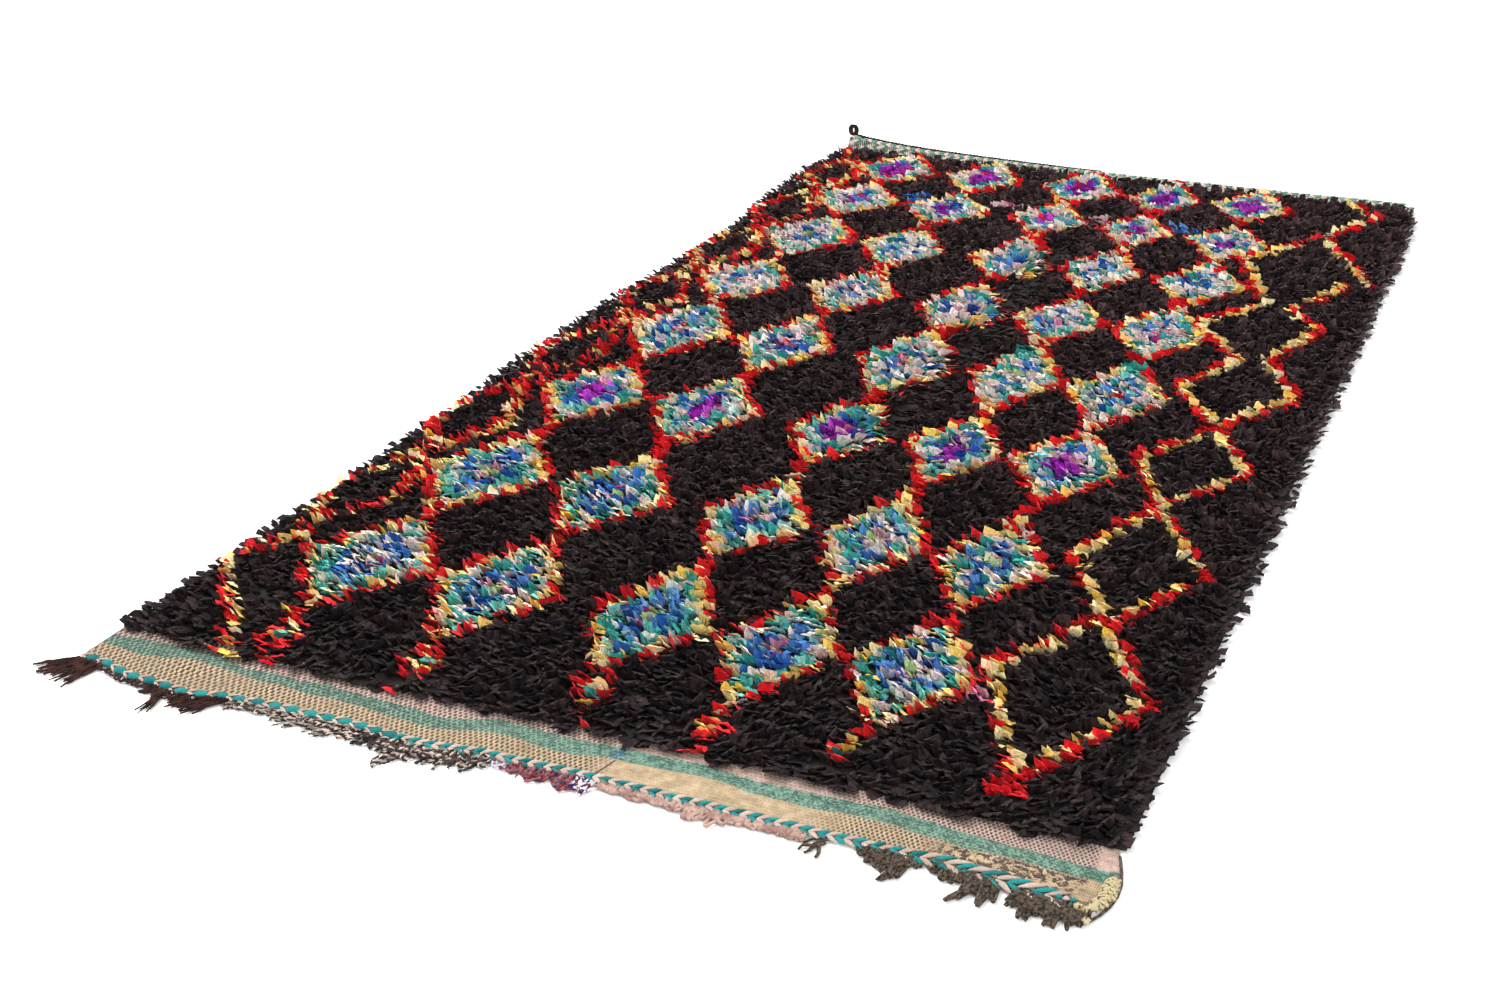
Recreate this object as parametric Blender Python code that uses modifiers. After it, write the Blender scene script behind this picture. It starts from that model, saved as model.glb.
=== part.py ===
# A boucherouite rug lying flat on the floor. A flat-woven ground shows at both ends, rag pile
# is knotted into it between them, a two-colour cord is twined along each end, and the warp
# ends hang out past the near one as fringe.
#
# Positions are first worked out from the near-left corner of the weave, with X across the
# rug, Y along it away from the near end and Z up. Every mesh is then moved so that the rug is
# centred on the origin and rests on z = 0.

import math

import bmesh
import bpy
from mathutils import Vector, noise

# The rug as a whole
WEAVE_LEFT = -0.010
WEAVE_RIGHT = 1.350
WEAVE_THICKNESS = 0.003
PILE_NEAR = 0.100
PILE_FAR = 2.775
CENTRE_X = 0.669
CENTRE_Y = 1.374
GAP = 0.0003

# Pile
PILE_HEIGHT = 0.023
PILE_CELLS_X = 28
PILE_CELLS_Y = 56
PILE_LUMP = 0.006
RIM_DROP = 0.006
FAR_RIM_DROP = 0.012
RIM_ROLL = 0.05
CREST_HEIGHT = 0.007
CREASE_DEPTH = 0.006
LOCK_REACH = 0.024
LOCK_LIFT = 0.0032
LOCK_SWAY = 0.012
LOCK_SKIPPED = 5
FAR_LOCK_SHARE = 0.55

# Near end
NEAR_TWINE_HALF = 0.0072
NEAR_TWINE_HEIGHT = 0.0075
NEAR_TWINE_END = 1.293
BAND_COLUMNS = 60
BAND_ROWS = 4
BAND_FLAT_FROM = 0.074

# Far end
FAR_TWINE_Y = 2.830
FAR_TWINE_HALF = 0.008
FAR_TWINE_HEIGHT = 0.007
FAR_TWINE_PITCH = 0.025
FAR_BAND_FROM = 2.785
FAR_LIFT = 0.009
CORNER_LIFT = 0.025
CORNER_LIFT_REACH = 0.17
CORD_RADIUS = 0.002
CORD_END = 0.60

# Fringe
STRIP_WIDTH = 0.005
STRIP_HEIGHT = 0.004

# Middle line of the near cord, which wanders as the weave does.
NEAR_LINE = (
    # x, y
    (-0.030, 0.008),
    (0.010, 0.006),
    (0.165, -0.014),
    (0.400, 0.003),
    (0.500, -0.002),
    (0.740, 0.012),
    (1.160, 0.013),
    (1.300, -0.002),
    (1.360, -0.004),
)

# Soft swells in the near woven band.
SWELLS = (
    # x, half width, height
    (0.130, 0.055, 0.0055),
    (0.300, 0.060, 0.0015),
    (0.620, 0.055, 0.0050),
    (0.870, 0.080, 0.0030),
    (1.080, 0.060, 0.0015),
    (1.230, 0.060, 0.0040),
)

# Stitches of the near cord grow coarser towards both corners.
NEAR_STITCHES = (
    # x, pitch
    (0.000, 0.027),
    (0.300, 0.024),
    (0.450, 0.018),
    (1.080, 0.019),
    (1.180, 0.025),
    (1.300, 0.025),
)

# Fringe clumps from left to right, each with its strands' length and the way they lean.
CLUMPS = (
    # node, from x, to x, strands, length, lean at from, lean at to, width kept
    ("fringe_brown", -0.024, 0.040, 9, 0.072, -24, 8, 0.62),
    ("fringe_brown", 0.040, 0.150, 9, 0.012, -6, 14, 0.60),
    ("fringe_brown", 0.150, 0.160, 1, 0.052, 14, 14, 0.28),
    ("fringe_brown", 0.160, 0.208, 5, 0.024, 6, -4, 0.60),
    ("fringe_brown", 0.208, 0.232, 3, 0.048, -6, 6, 0.55),
    ("fringe_mottled", 0.240, 0.330, 8, 0.018, -10, 10, 0.60),
    ("fringe_mottled", 0.330, 0.430, 10, 0.038, -12, 10, 0.58),
    ("fringe_mottled", 0.430, 0.506, 7, 0.022, -8, 8, 0.60),
    ("fringe_mottled", 0.506, 0.544, 4, 0.066, -10, 9, 0.60),
    ("fringe_mottled", 0.544, 0.596, 5, 0.034, -8, 4, 0.62),
    ("fringe_mottled", 0.596, 0.610, 1, 0.052, 4, 4, 0.40),
    ("fringe_multi", 0.640, 0.715, 7, 0.030, -10, 8, 0.55),
    ("fringe_multi", 0.715, 0.752, 3, 0.040, 10, 16, 0.66),
    ("fringe_pink", 0.758, 0.864, 9, 0.017, -8, 8, 0.74),
    ("fringe_pink", 0.864, 0.902, 3, 0.036, -6, 6, 0.80),
    ("fringe_pink", 0.902, 1.012, 9, 0.022, -8, 10, 0.74),
    ("fringe_drab", 1.030, 1.046, 1, 0.040, 12, 12, 0.35),
    ("fringe_drab", 1.046, 1.150, 8, 0.036, -8, 12, 0.72),
    ("fringe_drab", 1.150, 1.224, 6, 0.036, -4, 12, 0.74),
    ("fringe_drab", 1.224, 1.250, 2, 0.058, 2, 6, 0.74),
    ("fringe_drab", 1.250, 1.346, 8, 0.044, -6, 10, 0.76),
)

FRINGE_COLOURS = {
    "fringe_brown": (0.035, 0.017, 0.014),
    "fringe_mottled": (0.150, 0.125, 0.105),
    "fringe_multi": (0.250, 0.070, 0.090),
    "fringe_pink": (0.560, 0.360, 0.330),
    "fringe_drab": (0.060, 0.048, 0.036),
}


def remove_objects():
    for obj in list(bpy.data.objects):
        bpy.data.objects.remove(obj, do_unlink=True)


def new_collection(name):
    collection = bpy.data.collections.new(name)
    bpy.context.scene.collection.children.link(collection)
    return collection


def fabric(name, colour, roughness=0.9):
    material = bpy.data.materials.new(name)
    material.use_nodes = True
    shader = material.node_tree.nodes["Principled BSDF"]
    shader.inputs["Base Color"].default_value = (*colour, 1.0)
    shader.inputs["Roughness"].default_value = roughness
    shader.inputs["Metallic"].default_value = 0.0
    material.diffuse_color = (*colour, 1.0)
    return material


# Makes the object of a finished mesh, moved from the corner's frame to the centred one.
def add_object(bm, name, collection, colour):
    bmesh.ops.translate(bm, verts=bm.verts, vec=(-CENTRE_X, -CENTRE_Y, 0.0))
    mesh = bpy.data.meshes.new(name)
    bm.to_mesh(mesh)
    bm.free()
    mesh.shade_smooth()
    mesh.set_sharp_from_angle(angle=math.radians(50))
    obj = bpy.data.objects.new(name, mesh)
    obj.data.materials.append(fabric(name, colour))
    collection.objects.link(obj)
    return obj


def mix(a, b, t):
    return a + (b - a) * t


def ease(t):
    t = min(max(t, 0.0), 1.0)
    return t * t * (3.0 - 2.0 * t)


# Reads a table of (place, value) rows as a smooth line.
def along(table, place):
    if place <= table[0][0]:
        return table[0][1]
    for (x0, v0), (x1, v1) in zip(table, table[1:]):
        if place <= x1:
            turn = 0.5 - 0.5 * math.cos(math.pi * (place - x0) / (x1 - x0))
            return mix(v0, v1, turn)
    return table[-1][1]


# Slow uneven drift of an edge, up to about one size either way.
def drift(place, seed, size):
    return size * (
        0.6 * math.sin(4.1 * place + seed)
        + 0.4 * math.sin(11.3 * place + 2.3 * seed)
        + 0.3 * math.sin(23.0 * place + 3.1 * seed)
    )


# How far the weave's underside stands off the floor in the near band.
def swell(x, y):
    total = 0.0
    for place, half, height in SWELLS:
        total += height * math.exp(-(((x - place) / half) ** 2))
    rise = mix(0.35, 1.0, ease((y - 0.005) / 0.03))
    return total * rise * (1.0 - ease((y - 0.045) / (BAND_FLAT_FROM - 0.045)))


# How far the outer edge of the far band is lifted, most at its left corner.
def far_lift(x):
    return FAR_LIFT + CORNER_LIFT * math.exp(-max(x, 0.0) / CORNER_LIFT_REACH)


def weave_base(x, y):
    if y < BAND_FLAT_FROM:
        return swell(x, y)
    outer = FAR_TWINE_Y - FAR_TWINE_HALF
    share = max(y - FAR_BAND_FROM, 0.0) / (outer - FAR_BAND_FROM)
    return far_lift(x) * share**1.5


def weave_rows():
    near = [mix(0.0, 1.0, i / BAND_ROWS) for i in range(BAND_ROWS + 1)]
    far = [mix(2.0, 3.0, i / 2) for i in range(3)]
    return near + [1.5] + far


# The flat-woven ground: the near band, the flat stretch under the pile and the far band.
def make_ground_weave(collection):
    rows = weave_rows()
    bm = bmesh.new()
    bmesh.ops.create_grid(
        bm, x_segments=BAND_COLUMNS, y_segments=len(rows) - 1, size=0.5
    )
    far_edge = FAR_TWINE_Y - FAR_TWINE_HALF - GAP
    for vert in bm.verts:
        across = vert.co.x + 0.5
        row = rows[round((vert.co.y + 0.5) * (len(rows) - 1))]
        x = mix(WEAVE_LEFT, WEAVE_RIGHT, across)
        near_edge = along(NEAR_LINE, x) + NEAR_TWINE_HALF + 0.0006
        if row <= 1.0:
            y = mix(near_edge, BAND_FLAT_FROM, row)
        elif row < 2.0:
            y = mix(BAND_FLAT_FROM, FAR_BAND_FROM, row - 1.0)
        else:
            y = mix(FAR_BAND_FROM, far_edge, row - 2.0)
        vert.co = Vector((x, y, weave_base(x, y)))
    obj = add_object(bm, "ground_weave", collection, (0.560, 0.450, 0.330))
    wall = obj.modifiers.new("Cloth", "SOLIDIFY")
    wall.thickness = WEAVE_THICKNESS
    wall.offset = 1.0
    wall.use_even_offset = False
    return obj


# A long crest with a hollow beside it runs up the rug, just right of its middle.
def crease_line(y):
    return 0.690 - 0.020 * y / PILE_FAR + drift(y, 1.7, 0.008)


def pile_top(x, y):
    off = x - crease_line(y)
    crest = CREST_HEIGHT * math.exp(-(((off + 0.030) / 0.045) ** 2))
    hollow = CREASE_DEPTH * math.exp(-(((off - 0.035) / 0.030) ** 2))
    small = noise.noise(Vector((x * 17.0, y * 13.0, 0.3)))
    large = noise.noise(Vector((x * 4.0, y * 3.5, 7.9)))
    tufts = noise.noise(Vector((x * 41.0, y * 37.0, 2.6)))
    lump = PILE_LUMP * (0.8 * small + 0.6 * large + 1.1 * tufts)
    side = min(x - WEAVE_LEFT, WEAVE_RIGHT - x, y - PILE_NEAR)
    rim = RIM_DROP * (1.0 - ease(side / RIM_ROLL))
    far_rim = FAR_RIM_DROP * (1.0 - ease((PILE_FAR - y) / RIM_ROLL))
    return PILE_HEIGHT + crest - hollow + lump - max(rim, far_rim)


# Grows a face outwards as the next stretch of a strand. Its width is scaled about its own
# middle and its height about the level given.
def grow(bm, face, move, width, height, level):
    new = bmesh.ops.extrude_discrete_faces(bm, faces=[face])["faces"][0]
    middle = new.calc_center_median()
    side = Vector((-move.y, move.x, 0.0)).normalized()
    for vert in new.verts:
        reach = (vert.co - middle).dot(side) * width
        tall = level + (vert.co.z - level) * height
        vert.co = Vector((middle.x, middle.y, 0.0)) + side * reach + move
        vert.co.z = tall + move.z
    return new


# Puts the pile's wall faces in order round the rug.
def turn_about_centre(face):
    middle = face.calc_center_median()
    return math.atan2(middle.y - CENTRE_Y, middle.x - CENTRE_X)


# Rag ends that stand out past the pile's rim, one from most of its wall faces.
def grow_rim_locks(bm, walls):
    base = WEAVE_THICKNESS + GAP
    walls.sort(key=turn_about_centre)
    for number, wall in enumerate(walls):
        out = wall.normal.copy()
        out.z = 0.0
        out.normalize()
        middle = wall.calc_center_median()
        chance = noise.noise(Vector((number * 0.77, 3.1, 0.0)))
        if number % LOCK_SKIPPED == 3:
            continue
        reach = LOCK_REACH * (1.0 + 0.5 * chance)
        droop = LOCK_LIFT if abs(out.x) > 0.9 else 0.0
        if middle.y > PILE_FAR - 0.01:
            reach *= FAR_LOCK_SHARE
        turn = Vector((-out.y, out.x, 0.0)) * chance * LOCK_SWAY
        first = out * reach * 0.45 + turn * 0.4 + Vector((0.0, 0.0, LOCK_LIFT))
        second = out * reach * 0.55 + turn - Vector((0.0, 0.0, droop))
        lock = grow(bm, wall, first, 0.55, 0.62, base)
        grow(bm, lock, second, 0.55, 0.60, base + LOCK_LIFT)


def make_pile(collection):
    bm = bmesh.new()
    bmesh.ops.create_grid(
        bm, x_segments=PILE_CELLS_X, y_segments=PILE_CELLS_Y, size=0.5
    )
    for vert in bm.verts:
        u = vert.co.x + 0.5
        v = vert.co.y + 0.5
        x = mix(WEAVE_LEFT, WEAVE_RIGHT, u)
        y = mix(PILE_NEAR, PILE_FAR, v)
        x += mix(drift(y, 0.4, 0.004), drift(y, 2.9, 0.004), u)
        y += mix(drift(x, 5.2, 0.004), drift(x, 8.1, 0.002), v)
        vert.co = Vector((x, y, pile_top(x, y)))
    rim = [edge for edge in bm.edges if edge.is_boundary]
    skirt = bmesh.ops.extrude_edge_only(bm, edges=rim)["geom"]
    for part in skirt:
        if isinstance(part, bmesh.types.BMVert):
            part.co.z = WEAVE_THICKNESS + GAP
    walls = [part for part in skirt if isinstance(part, bmesh.types.BMFace)]
    hem = [edge for edge in bm.edges if edge.is_boundary]
    bmesh.ops.contextual_create(bm, geom=hem)
    bmesh.ops.recalc_face_normals(bm, faces=bm.faces)
    grow_rim_locks(bm, walls)
    return add_object(bm, "pile", collection, (0.026, 0.023, 0.021))


# Carries a closed outline through the sections given, each a list of its points in order.
def loft(bm, sections):
    face = bm.faces.new([bm.verts.new(point) for point in sections[0]])
    for points in sections[1:]:
        face = bmesh.ops.extrude_discrete_faces(bm, faces=[face])["faces"][0]
        for vert, point in zip(face.verts, points):
            vert.co = point
    open_edges = [edge for edge in bm.edges if edge.is_boundary]
    bmesh.ops.contextual_create(bm, geom=open_edges)
    bmesh.ops.recalc_face_normals(bm, faces=bm.faces)


# One section across a twined cord. Crests and valleys take turns, and lie slanted so that
# the two sides meet in a V.
def twine_section(x, line, base, half, height, slant, crest):
    level = 1.0 if crest else 0.66
    outline = (
        # share across, share of height
        (-0.95, 0.00),
        (-1.00, 0.35),
        (-0.55, 1.00 * level),
        (0.00, 0.82 * level),
        (0.55, 1.00 * level),
        (1.00, 0.35),
        (0.95, 0.00),
    )
    points = []
    for across, up in outline:
        place = x + slant * abs(across)
        lift = base(place) + height * up
        points.append(Vector((place, line(place) + half * across, lift)))
    return points


def make_near_twine(collection):
    def line(x):
        return along(NEAR_LINE, x)

    def base(x):
        return swell(x, line(x))

    sections = []
    x = WEAVE_LEFT + 0.004
    while x < NEAR_TWINE_END - 0.008:
        pitch = along(NEAR_STITCHES, x)
        coarse = pitch / 0.024
        half = NEAR_TWINE_HALF
        height = NEAR_TWINE_HEIGHT * mix(1.0, coarse, 0.5)
        for crest in (False, True):
            sections.append(
                twine_section(x, line, base, half, height, 0.4 * pitch, crest)
            )
            x += 0.5 * pitch
    bm = bmesh.new()
    loft(bm, sections)
    return add_object(bm, "near_twine", collection, (0.100, 0.420, 0.380))


def make_far_twine(collection):
    stitches = round((WEAVE_RIGHT - WEAVE_LEFT - 0.02) / FAR_TWINE_PITCH)
    sections = []
    for number in range(2 * stitches):
        x = WEAVE_LEFT + 0.004 + number * 0.5 * FAR_TWINE_PITCH
        sections.append(
            twine_section(
                x,
                lambda place: FAR_TWINE_Y,
                far_lift,
                FAR_TWINE_HALF,
                FAR_TWINE_HEIGHT,
                0.3 * FAR_TWINE_PITCH,
                number % 2 == 1,
            )
        )
    bm = bmesh.new()
    loft(bm, sections)
    return add_object(bm, "far_twine", collection, (0.300, 0.420, 0.330))


# Cream yarn wrapped in a few fat turns over the near right corner.
def make_corner_wrap(collection):
    turns = 6
    sections = []
    for number in range(2 * turns + 1):
        fat = 1.0 if number % 2 else 0.78
        y = mix(-0.004, 0.050, number / (2 * turns))
        x = 1.331 + 0.003 * math.sin(3.0 * number / turns)
        half = 0.0155 * mix(0.9, 1.0, fat)
        low = WEAVE_THICKNESS + GAP + swell(x, max(y, 0.0)) + 0.0004
        sections.append(
            [
                Vector((x - half, y, low)),
                Vector((x - 0.8 * half, y, low + 0.0055 * fat)),
                Vector((x, y, low + 0.0080 * fat)),
                Vector((x + 0.8 * half, y, low + 0.0055 * fat)),
                Vector((x + half, y, low)),
            ]
        )
    bm = bmesh.new()
    loft(bm, sections)
    return add_object(bm, "corner_wrap", collection, (0.620, 0.500, 0.260))


# The dark cord along the far edge, which ends in a small standing loop at the left corner.
def make_far_cord(collection):
    y = FAR_TWINE_Y + FAR_TWINE_HALF + GAP + CORD_RADIUS
    rise = CORD_RADIUS + 0.0015
    steps = 12
    route = []
    for number in range(steps + 1):
        x = mix(CORD_END, WEAVE_LEFT + 0.014, number / steps)
        route.append(Vector((x, y, far_lift(x) + rise)))
    corner = route[-1]
    loop = (
        # x, y, z from the cord's corner
        (-0.008, 0.000, 0.004),
        (-0.014, 0.000, 0.011),
        (-0.018, 0.001, 0.019),
        (-0.017, 0.002, 0.026),
        (-0.011, 0.003, 0.029),
        (-0.005, 0.003, 0.025),
        (-0.003, 0.003, 0.017),
        (-0.005, 0.004, 0.011),
    )
    route += [corner + Vector(step) for step in loop]
    curve = bpy.data.curves.new("far_cord", "CURVE")
    curve.dimensions = "3D"
    curve.bevel_depth = CORD_RADIUS
    curve.bevel_resolution = 1
    curve.use_fill_caps = True
    spline = curve.splines.new("POLY")
    spline.points.add(len(route) - 1)
    for point, place in zip(spline.points, route):
        point.co = (place.x - CENTRE_X, place.y - CENTRE_Y, place.z, 1.0)
    obj = bpy.data.objects.new("far_cord", curve)
    obj.data.materials.append(fabric("far_cord", (0.040, 0.022, 0.018)))
    collection.objects.link(obj)
    return obj


# One backing strip along the near cord, with its strands growing from its outer side.
def make_fringe(node, collection):
    clumps = [clump[1:] for clump in CLUMPS if clump[0] == node]
    strands = []
    edges = [clumps[0][0]]
    for start, end, count, length, lean_start, lean_end, kept in clumps:
        for number in range(count):
            share = (number + 0.5) / count
            uneven = noise.noise(Vector((start * 40.0, number * 0.83, 1.9)))
            long = length * (1.0 + 0.35 * uneven)
            lean = math.radians(mix(lean_start, lean_end, share))
            strands.append((long, lean, kept))
            edges.append(mix(start, end, (number + 1) / count))
    sections = []
    for x in edges:
        back = along(NEAR_LINE, x) - NEAR_TWINE_HALF - GAP
        front = back - STRIP_WIDTH
        sections.append(
            [
                Vector((x, back, 0.0)),
                Vector((x, front, 0.0)),
                Vector((x, front, STRIP_HEIGHT)),
                Vector((x, back, STRIP_HEIGHT)),
            ]
        )
    bm = bmesh.new()
    loft(bm, sections)
    fronts = [face for face in bm.faces if face.normal.y < -0.7]
    fronts.sort(key=lambda face: face.calc_center_median().x)
    for face, (long, lean, kept) in zip(fronts, strands):
        way = Vector((math.sin(lean), -math.cos(lean), 0.0))
        bend = Vector((math.sin(0.5 * lean), -math.cos(0.5 * lean), 0.0))
        body = grow(bm, face, bend * long * 0.30, kept, 1.0, 0.0)
        if long > 0.045:
            body = grow(bm, body, way * long * 0.35, 0.8, 0.85, 0.0)
            grow(bm, body, way * long * 0.35, 0.45, 0.6, 0.0)
        else:
            grow(bm, body, way * long * 0.70, 0.5, 0.6, 0.0)
    return add_object(bm, node, collection, FRINGE_COLOURS[node])


def main():
    remove_objects()
    rug = new_collection("boucherouite_rug")
    make_ground_weave(rug)
    make_pile(rug)
    make_near_twine(rug)
    make_corner_wrap(rug)
    for node in FRINGE_COLOURS:
        make_fringe(node, rug)
    make_far_twine(rug)
    make_far_cord(rug)


main()
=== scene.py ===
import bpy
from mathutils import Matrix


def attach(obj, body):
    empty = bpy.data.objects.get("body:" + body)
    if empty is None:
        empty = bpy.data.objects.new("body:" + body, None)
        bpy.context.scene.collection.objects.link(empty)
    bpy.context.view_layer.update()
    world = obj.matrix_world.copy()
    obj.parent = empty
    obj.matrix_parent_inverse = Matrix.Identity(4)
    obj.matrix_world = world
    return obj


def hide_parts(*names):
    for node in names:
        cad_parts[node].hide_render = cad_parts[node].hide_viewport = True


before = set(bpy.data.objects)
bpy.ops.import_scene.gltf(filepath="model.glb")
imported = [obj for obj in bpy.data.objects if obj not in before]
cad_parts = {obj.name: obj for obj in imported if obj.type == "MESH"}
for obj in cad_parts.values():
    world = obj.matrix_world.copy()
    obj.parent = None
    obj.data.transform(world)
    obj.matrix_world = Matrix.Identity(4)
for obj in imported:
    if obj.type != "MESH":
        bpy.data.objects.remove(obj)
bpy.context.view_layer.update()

# A boucherouite rug: rag pile knotted in rows on a woven ground, with striped woven ends,
# twined cords and a fringe of warp ends. Lengths are metres. X runs across the rug, Y along
# it away from the fringed end.
import math
import random

import bmesh
import bpy
import numpy as np
from mathutils import Euler, Vector, noise
from mathutils.bvhtree import BVHTree

scene = bpy.context.scene

# Places are given from the near left corner of the weave, and the frame is centred.
rug = {
    "cornerX": 0.669,
    "cornerY": 1.374,
    "left": -0.010,
    "right": 1.350,
    "pileNear": 0.100,
    "pileFar": 2.775,
    "farEdge": 2.822,
}


def clearScene():
    for name in ("Cube", "Light", "Camera"):
        old = bpy.data.objects.get(name)
        if old:
            bpy.data.objects.remove(old, do_unlink=True)


def mix(a, b, share):
    return a + (b - a) * share


def ease(share):
    share = min(max(share, 0.0), 1.0)
    return share * share * (3.0 - 2.0 * share)


def along(table, place):  # reads a table of (place, value) as a smooth line
    if place <= table[0][0]:
        return table[0][1]
    for (x0, v0), (x1, v1) in zip(table, table[1:]):
        if place <= x1:
            turn = 0.5 - 0.5 * math.cos(math.pi * (place - x0) / (x1 - x0))
            return mix(v0, v1, turn)
    return table[-1][1]


def toFrame(x, y, z=0.0):
    return Vector((x - rug["cornerX"], y - rug["cornerY"], z))


def newObject(name, mesh):
    obj = bpy.data.objects.new(name, mesh)
    scene.collection.objects.link(obj)
    return obj


def newMesh(bm, name, smoothAngle=None):
    mesh = bpy.data.meshes.new(name)
    bm.to_mesh(mesh)
    bm.free()
    if smoothAngle is not None:
        mesh.shade_smooth()
        mesh.set_sharp_from_angle(angle=math.radians(smoothAngle))
    return newObject(name, mesh)


def closeHoles(bm):
    bmesh.ops.contextual_create(bm, geom=[edge for edge in bm.edges if edge.is_boundary])
    bmesh.ops.recalc_face_normals(bm, faces=bm.faces)


def hiddenKind(obj):  # takes a mesh that is only to be copied out of the scene
    scene.collection.objects.unlink(obj)
    return obj


def finishPiece(obj, material, slot, *replaced):
    obj.data.materials.clear()
    obj.data.materials.append(material)
    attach(obj, "root")
    if replaced:
        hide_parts(*replaced)
    return obj


# Shader helpers. They work in the tree of the sockets that they are given.
def treeOf(*values):
    return next(value.id_data for value in values if isinstance(value, bpy.types.NodeSocket))


def feed(socket, value):
    if isinstance(value, tuple):
        socket.default_value = (*value, 1.0) if socket.type == "RGBA" else value
    elif isinstance(value, (int, float)):
        socket.default_value = value
    else:
        socket.id_data.links.new(value, socket)


# A node's inputs are given by name or number, as numbers, colours or links.
def addNode(tree, kind, inputs=None, **values):
    node = tree.nodes.new(kind)
    for key, value in values.items():
        setattr(node, key, value)
    for key, value in (inputs or {}).items():
        feed(node.inputs[key], value)
    return node


def newMaterial(name, roughness, sheen, specular=0.25):
    material = bpy.data.materials.new(name)
    material.use_nodes = True
    tree = material.node_tree
    shader = tree.nodes["Principled BSDF"]
    surface = {
        "Metallic": 0.0,
        "Roughness": roughness,
        "Specular IOR Level": specular,
        "Sheen Weight": sheen,
        "Sheen Roughness": 0.5,
    }
    for key, value in surface.items():
        feed(shader.inputs[key], value)
    return material, tree, shader


def mathNode(operation, *values):
    inputs = dict(enumerate(values))
    return addNode(treeOf(*values), "ShaderNodeMath", inputs, operation=operation).outputs[0]


def plus(first, second):
    return mathNode("ADD", first, second)


def minus(first, second):
    return mathNode("SUBTRACT", first, second)


def times(first, second):
    return mathNode("MULTIPLY", first, second)


def timesPlus(first, second, third):
    return mathNode("MULTIPLY_ADD", first, second, third)


def mixColour(share, first, second):
    node = addNode(treeOf(share), "ShaderNodeMix", data_type="RGBA")
    sockets = [socket for socket in node.inputs if socket.enabled]
    for socket, value in zip(sockets, (share, first, second)):
        feed(socket, value)
    return [socket for socket in node.outputs if socket.enabled][0]


def noiseNode(vector, scale, detail=2.0, rough=0.5, swirl=0.0):
    inputs = {"Vector": vector, "Scale": scale, "Detail": detail, "Roughness": rough}
    inputs["Distortion"] = swirl
    return addNode(treeOf(vector), "ShaderNodeTexNoise", inputs).outputs["Fac"]


def rangeNode(value, low, high, toLow=0.0, toHigh=1.0):
    inputs = {"Value": value, "From Min": low, "From Max": high, "To Min": toLow, "To Max": toHigh}
    return addNode(treeOf(value), "ShaderNodeMapRange", inputs).outputs["Result"]


def fallNode(value, low, high):
    return rangeNode(value, low, high, 1.0, 0.0)


def attributeNode(tree, name):
    return addNode(tree, "ShaderNodeAttribute", attribute_name=name).outputs["Fac"]


def objectCoordinates(tree):
    return addNode(tree, "ShaderNodeTexCoord").outputs["Object"]


def splitNode(vector):
    return addNode(treeOf(vector), "ShaderNodeSeparateXYZ", {0: vector}).outputs


def dimmed(colour, grain):  # multiplies a colour by a grey value
    inputs = {0: colour, "Scale": grain}
    return addNode(treeOf(colour), "ShaderNodeVectorMath", inputs, operation="SCALE").outputs[0]


# Gives the shader its colour, and bumps so many metres high.
def finishShader(shader, colour, height, strength, distance):
    feed(shader.inputs["Base Color"], colour)
    inputs = {"Strength": strength, "Distance": distance, "Height": height}
    bump = addNode(shader.id_data, "ShaderNodeBump", inputs)
    feed(shader.inputs["Normal"], bump.outputs["Normal"])


# Camera, floor and light
studio = {
    "lens": 48.0,
    "sensor": 36.0,
    "seesTo": 100.0,
    "fromCorner": (1.698, -1.751, 1.261),
    "tiltDown": 24.33,
    "turn": 23.39,
    "floorSize": 24.0,
    "floorColour": (0.90, 0.90, 0.90),
    "skyStrength": 0.98,
    "keyPlace": (-2.0, -0.6, 3.4),
    "keySize": 2.4,
    "keyPower": 190.0,
    "fillPlace": (2.8, -3.2, 2.4),
    "fillSize": 3.0,
    "fillPower": 118.0,
}


def areaLight(name, place, size, power):
    light = bpy.data.lights.new(name, "AREA")
    light.shape = "SQUARE"
    light.size = size
    light.energy = power
    obj = newObject(name, light)
    obj.location = place
    obj.rotation_euler = (-Vector(place)).to_track_quat("-Z", "Y").to_euler()


def makeStudio():
    camera = bpy.data.cameras.new("camera")
    camera.lens = studio["lens"]
    camera.sensor_width = studio["sensor"]
    camera.clip_end = studio["seesTo"]
    obj = newObject("camera", camera)
    obj.location = toFrame(*studio["fromCorner"])
    turn = (math.radians(90.0 - studio["tiltDown"]), 0.0, math.radians(studio["turn"]))
    obj.rotation_euler = Euler(turn)
    scene.camera = obj

    bm = bmesh.new()
    bmesh.ops.create_grid(bm, x_segments=2, y_segments=2, size=0.5 * studio["floorSize"])
    bmesh.ops.translate(bm, verts=bm.verts, vec=(0.0, 0.0, -0.0004))
    floor = newMesh(bm, "floor")
    material, tree, shader = newMaterial("paleFloor", 0.9, 0.0)
    faint = noiseNode(objectCoordinates(tree), 1.5)
    pale = studio["floorColour"]
    colour = mixColour(faint, tuple(0.985 * c for c in pale), pale)
    feed(shader.inputs["Base Color"], colour)
    floor.data.materials.append(material)

    world = bpy.data.worlds.new("studioSky")
    world.use_nodes = True
    sky = world.node_tree.nodes["Background"]
    sky.inputs["Color"].default_value = (1.0, 1.0, 1.0, 1.0)
    sky.inputs["Strength"].default_value = studio["skyStrength"]
    scene.world = world
    for light in ("key", "fill"):
        place, size, power = (studio[light + part] for part in ("Place", "Size", "Power"))
        areaLight(light + "Light", place, size, power)
    scene.view_settings.view_transform = "Standard"
    print("studio ready")


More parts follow.
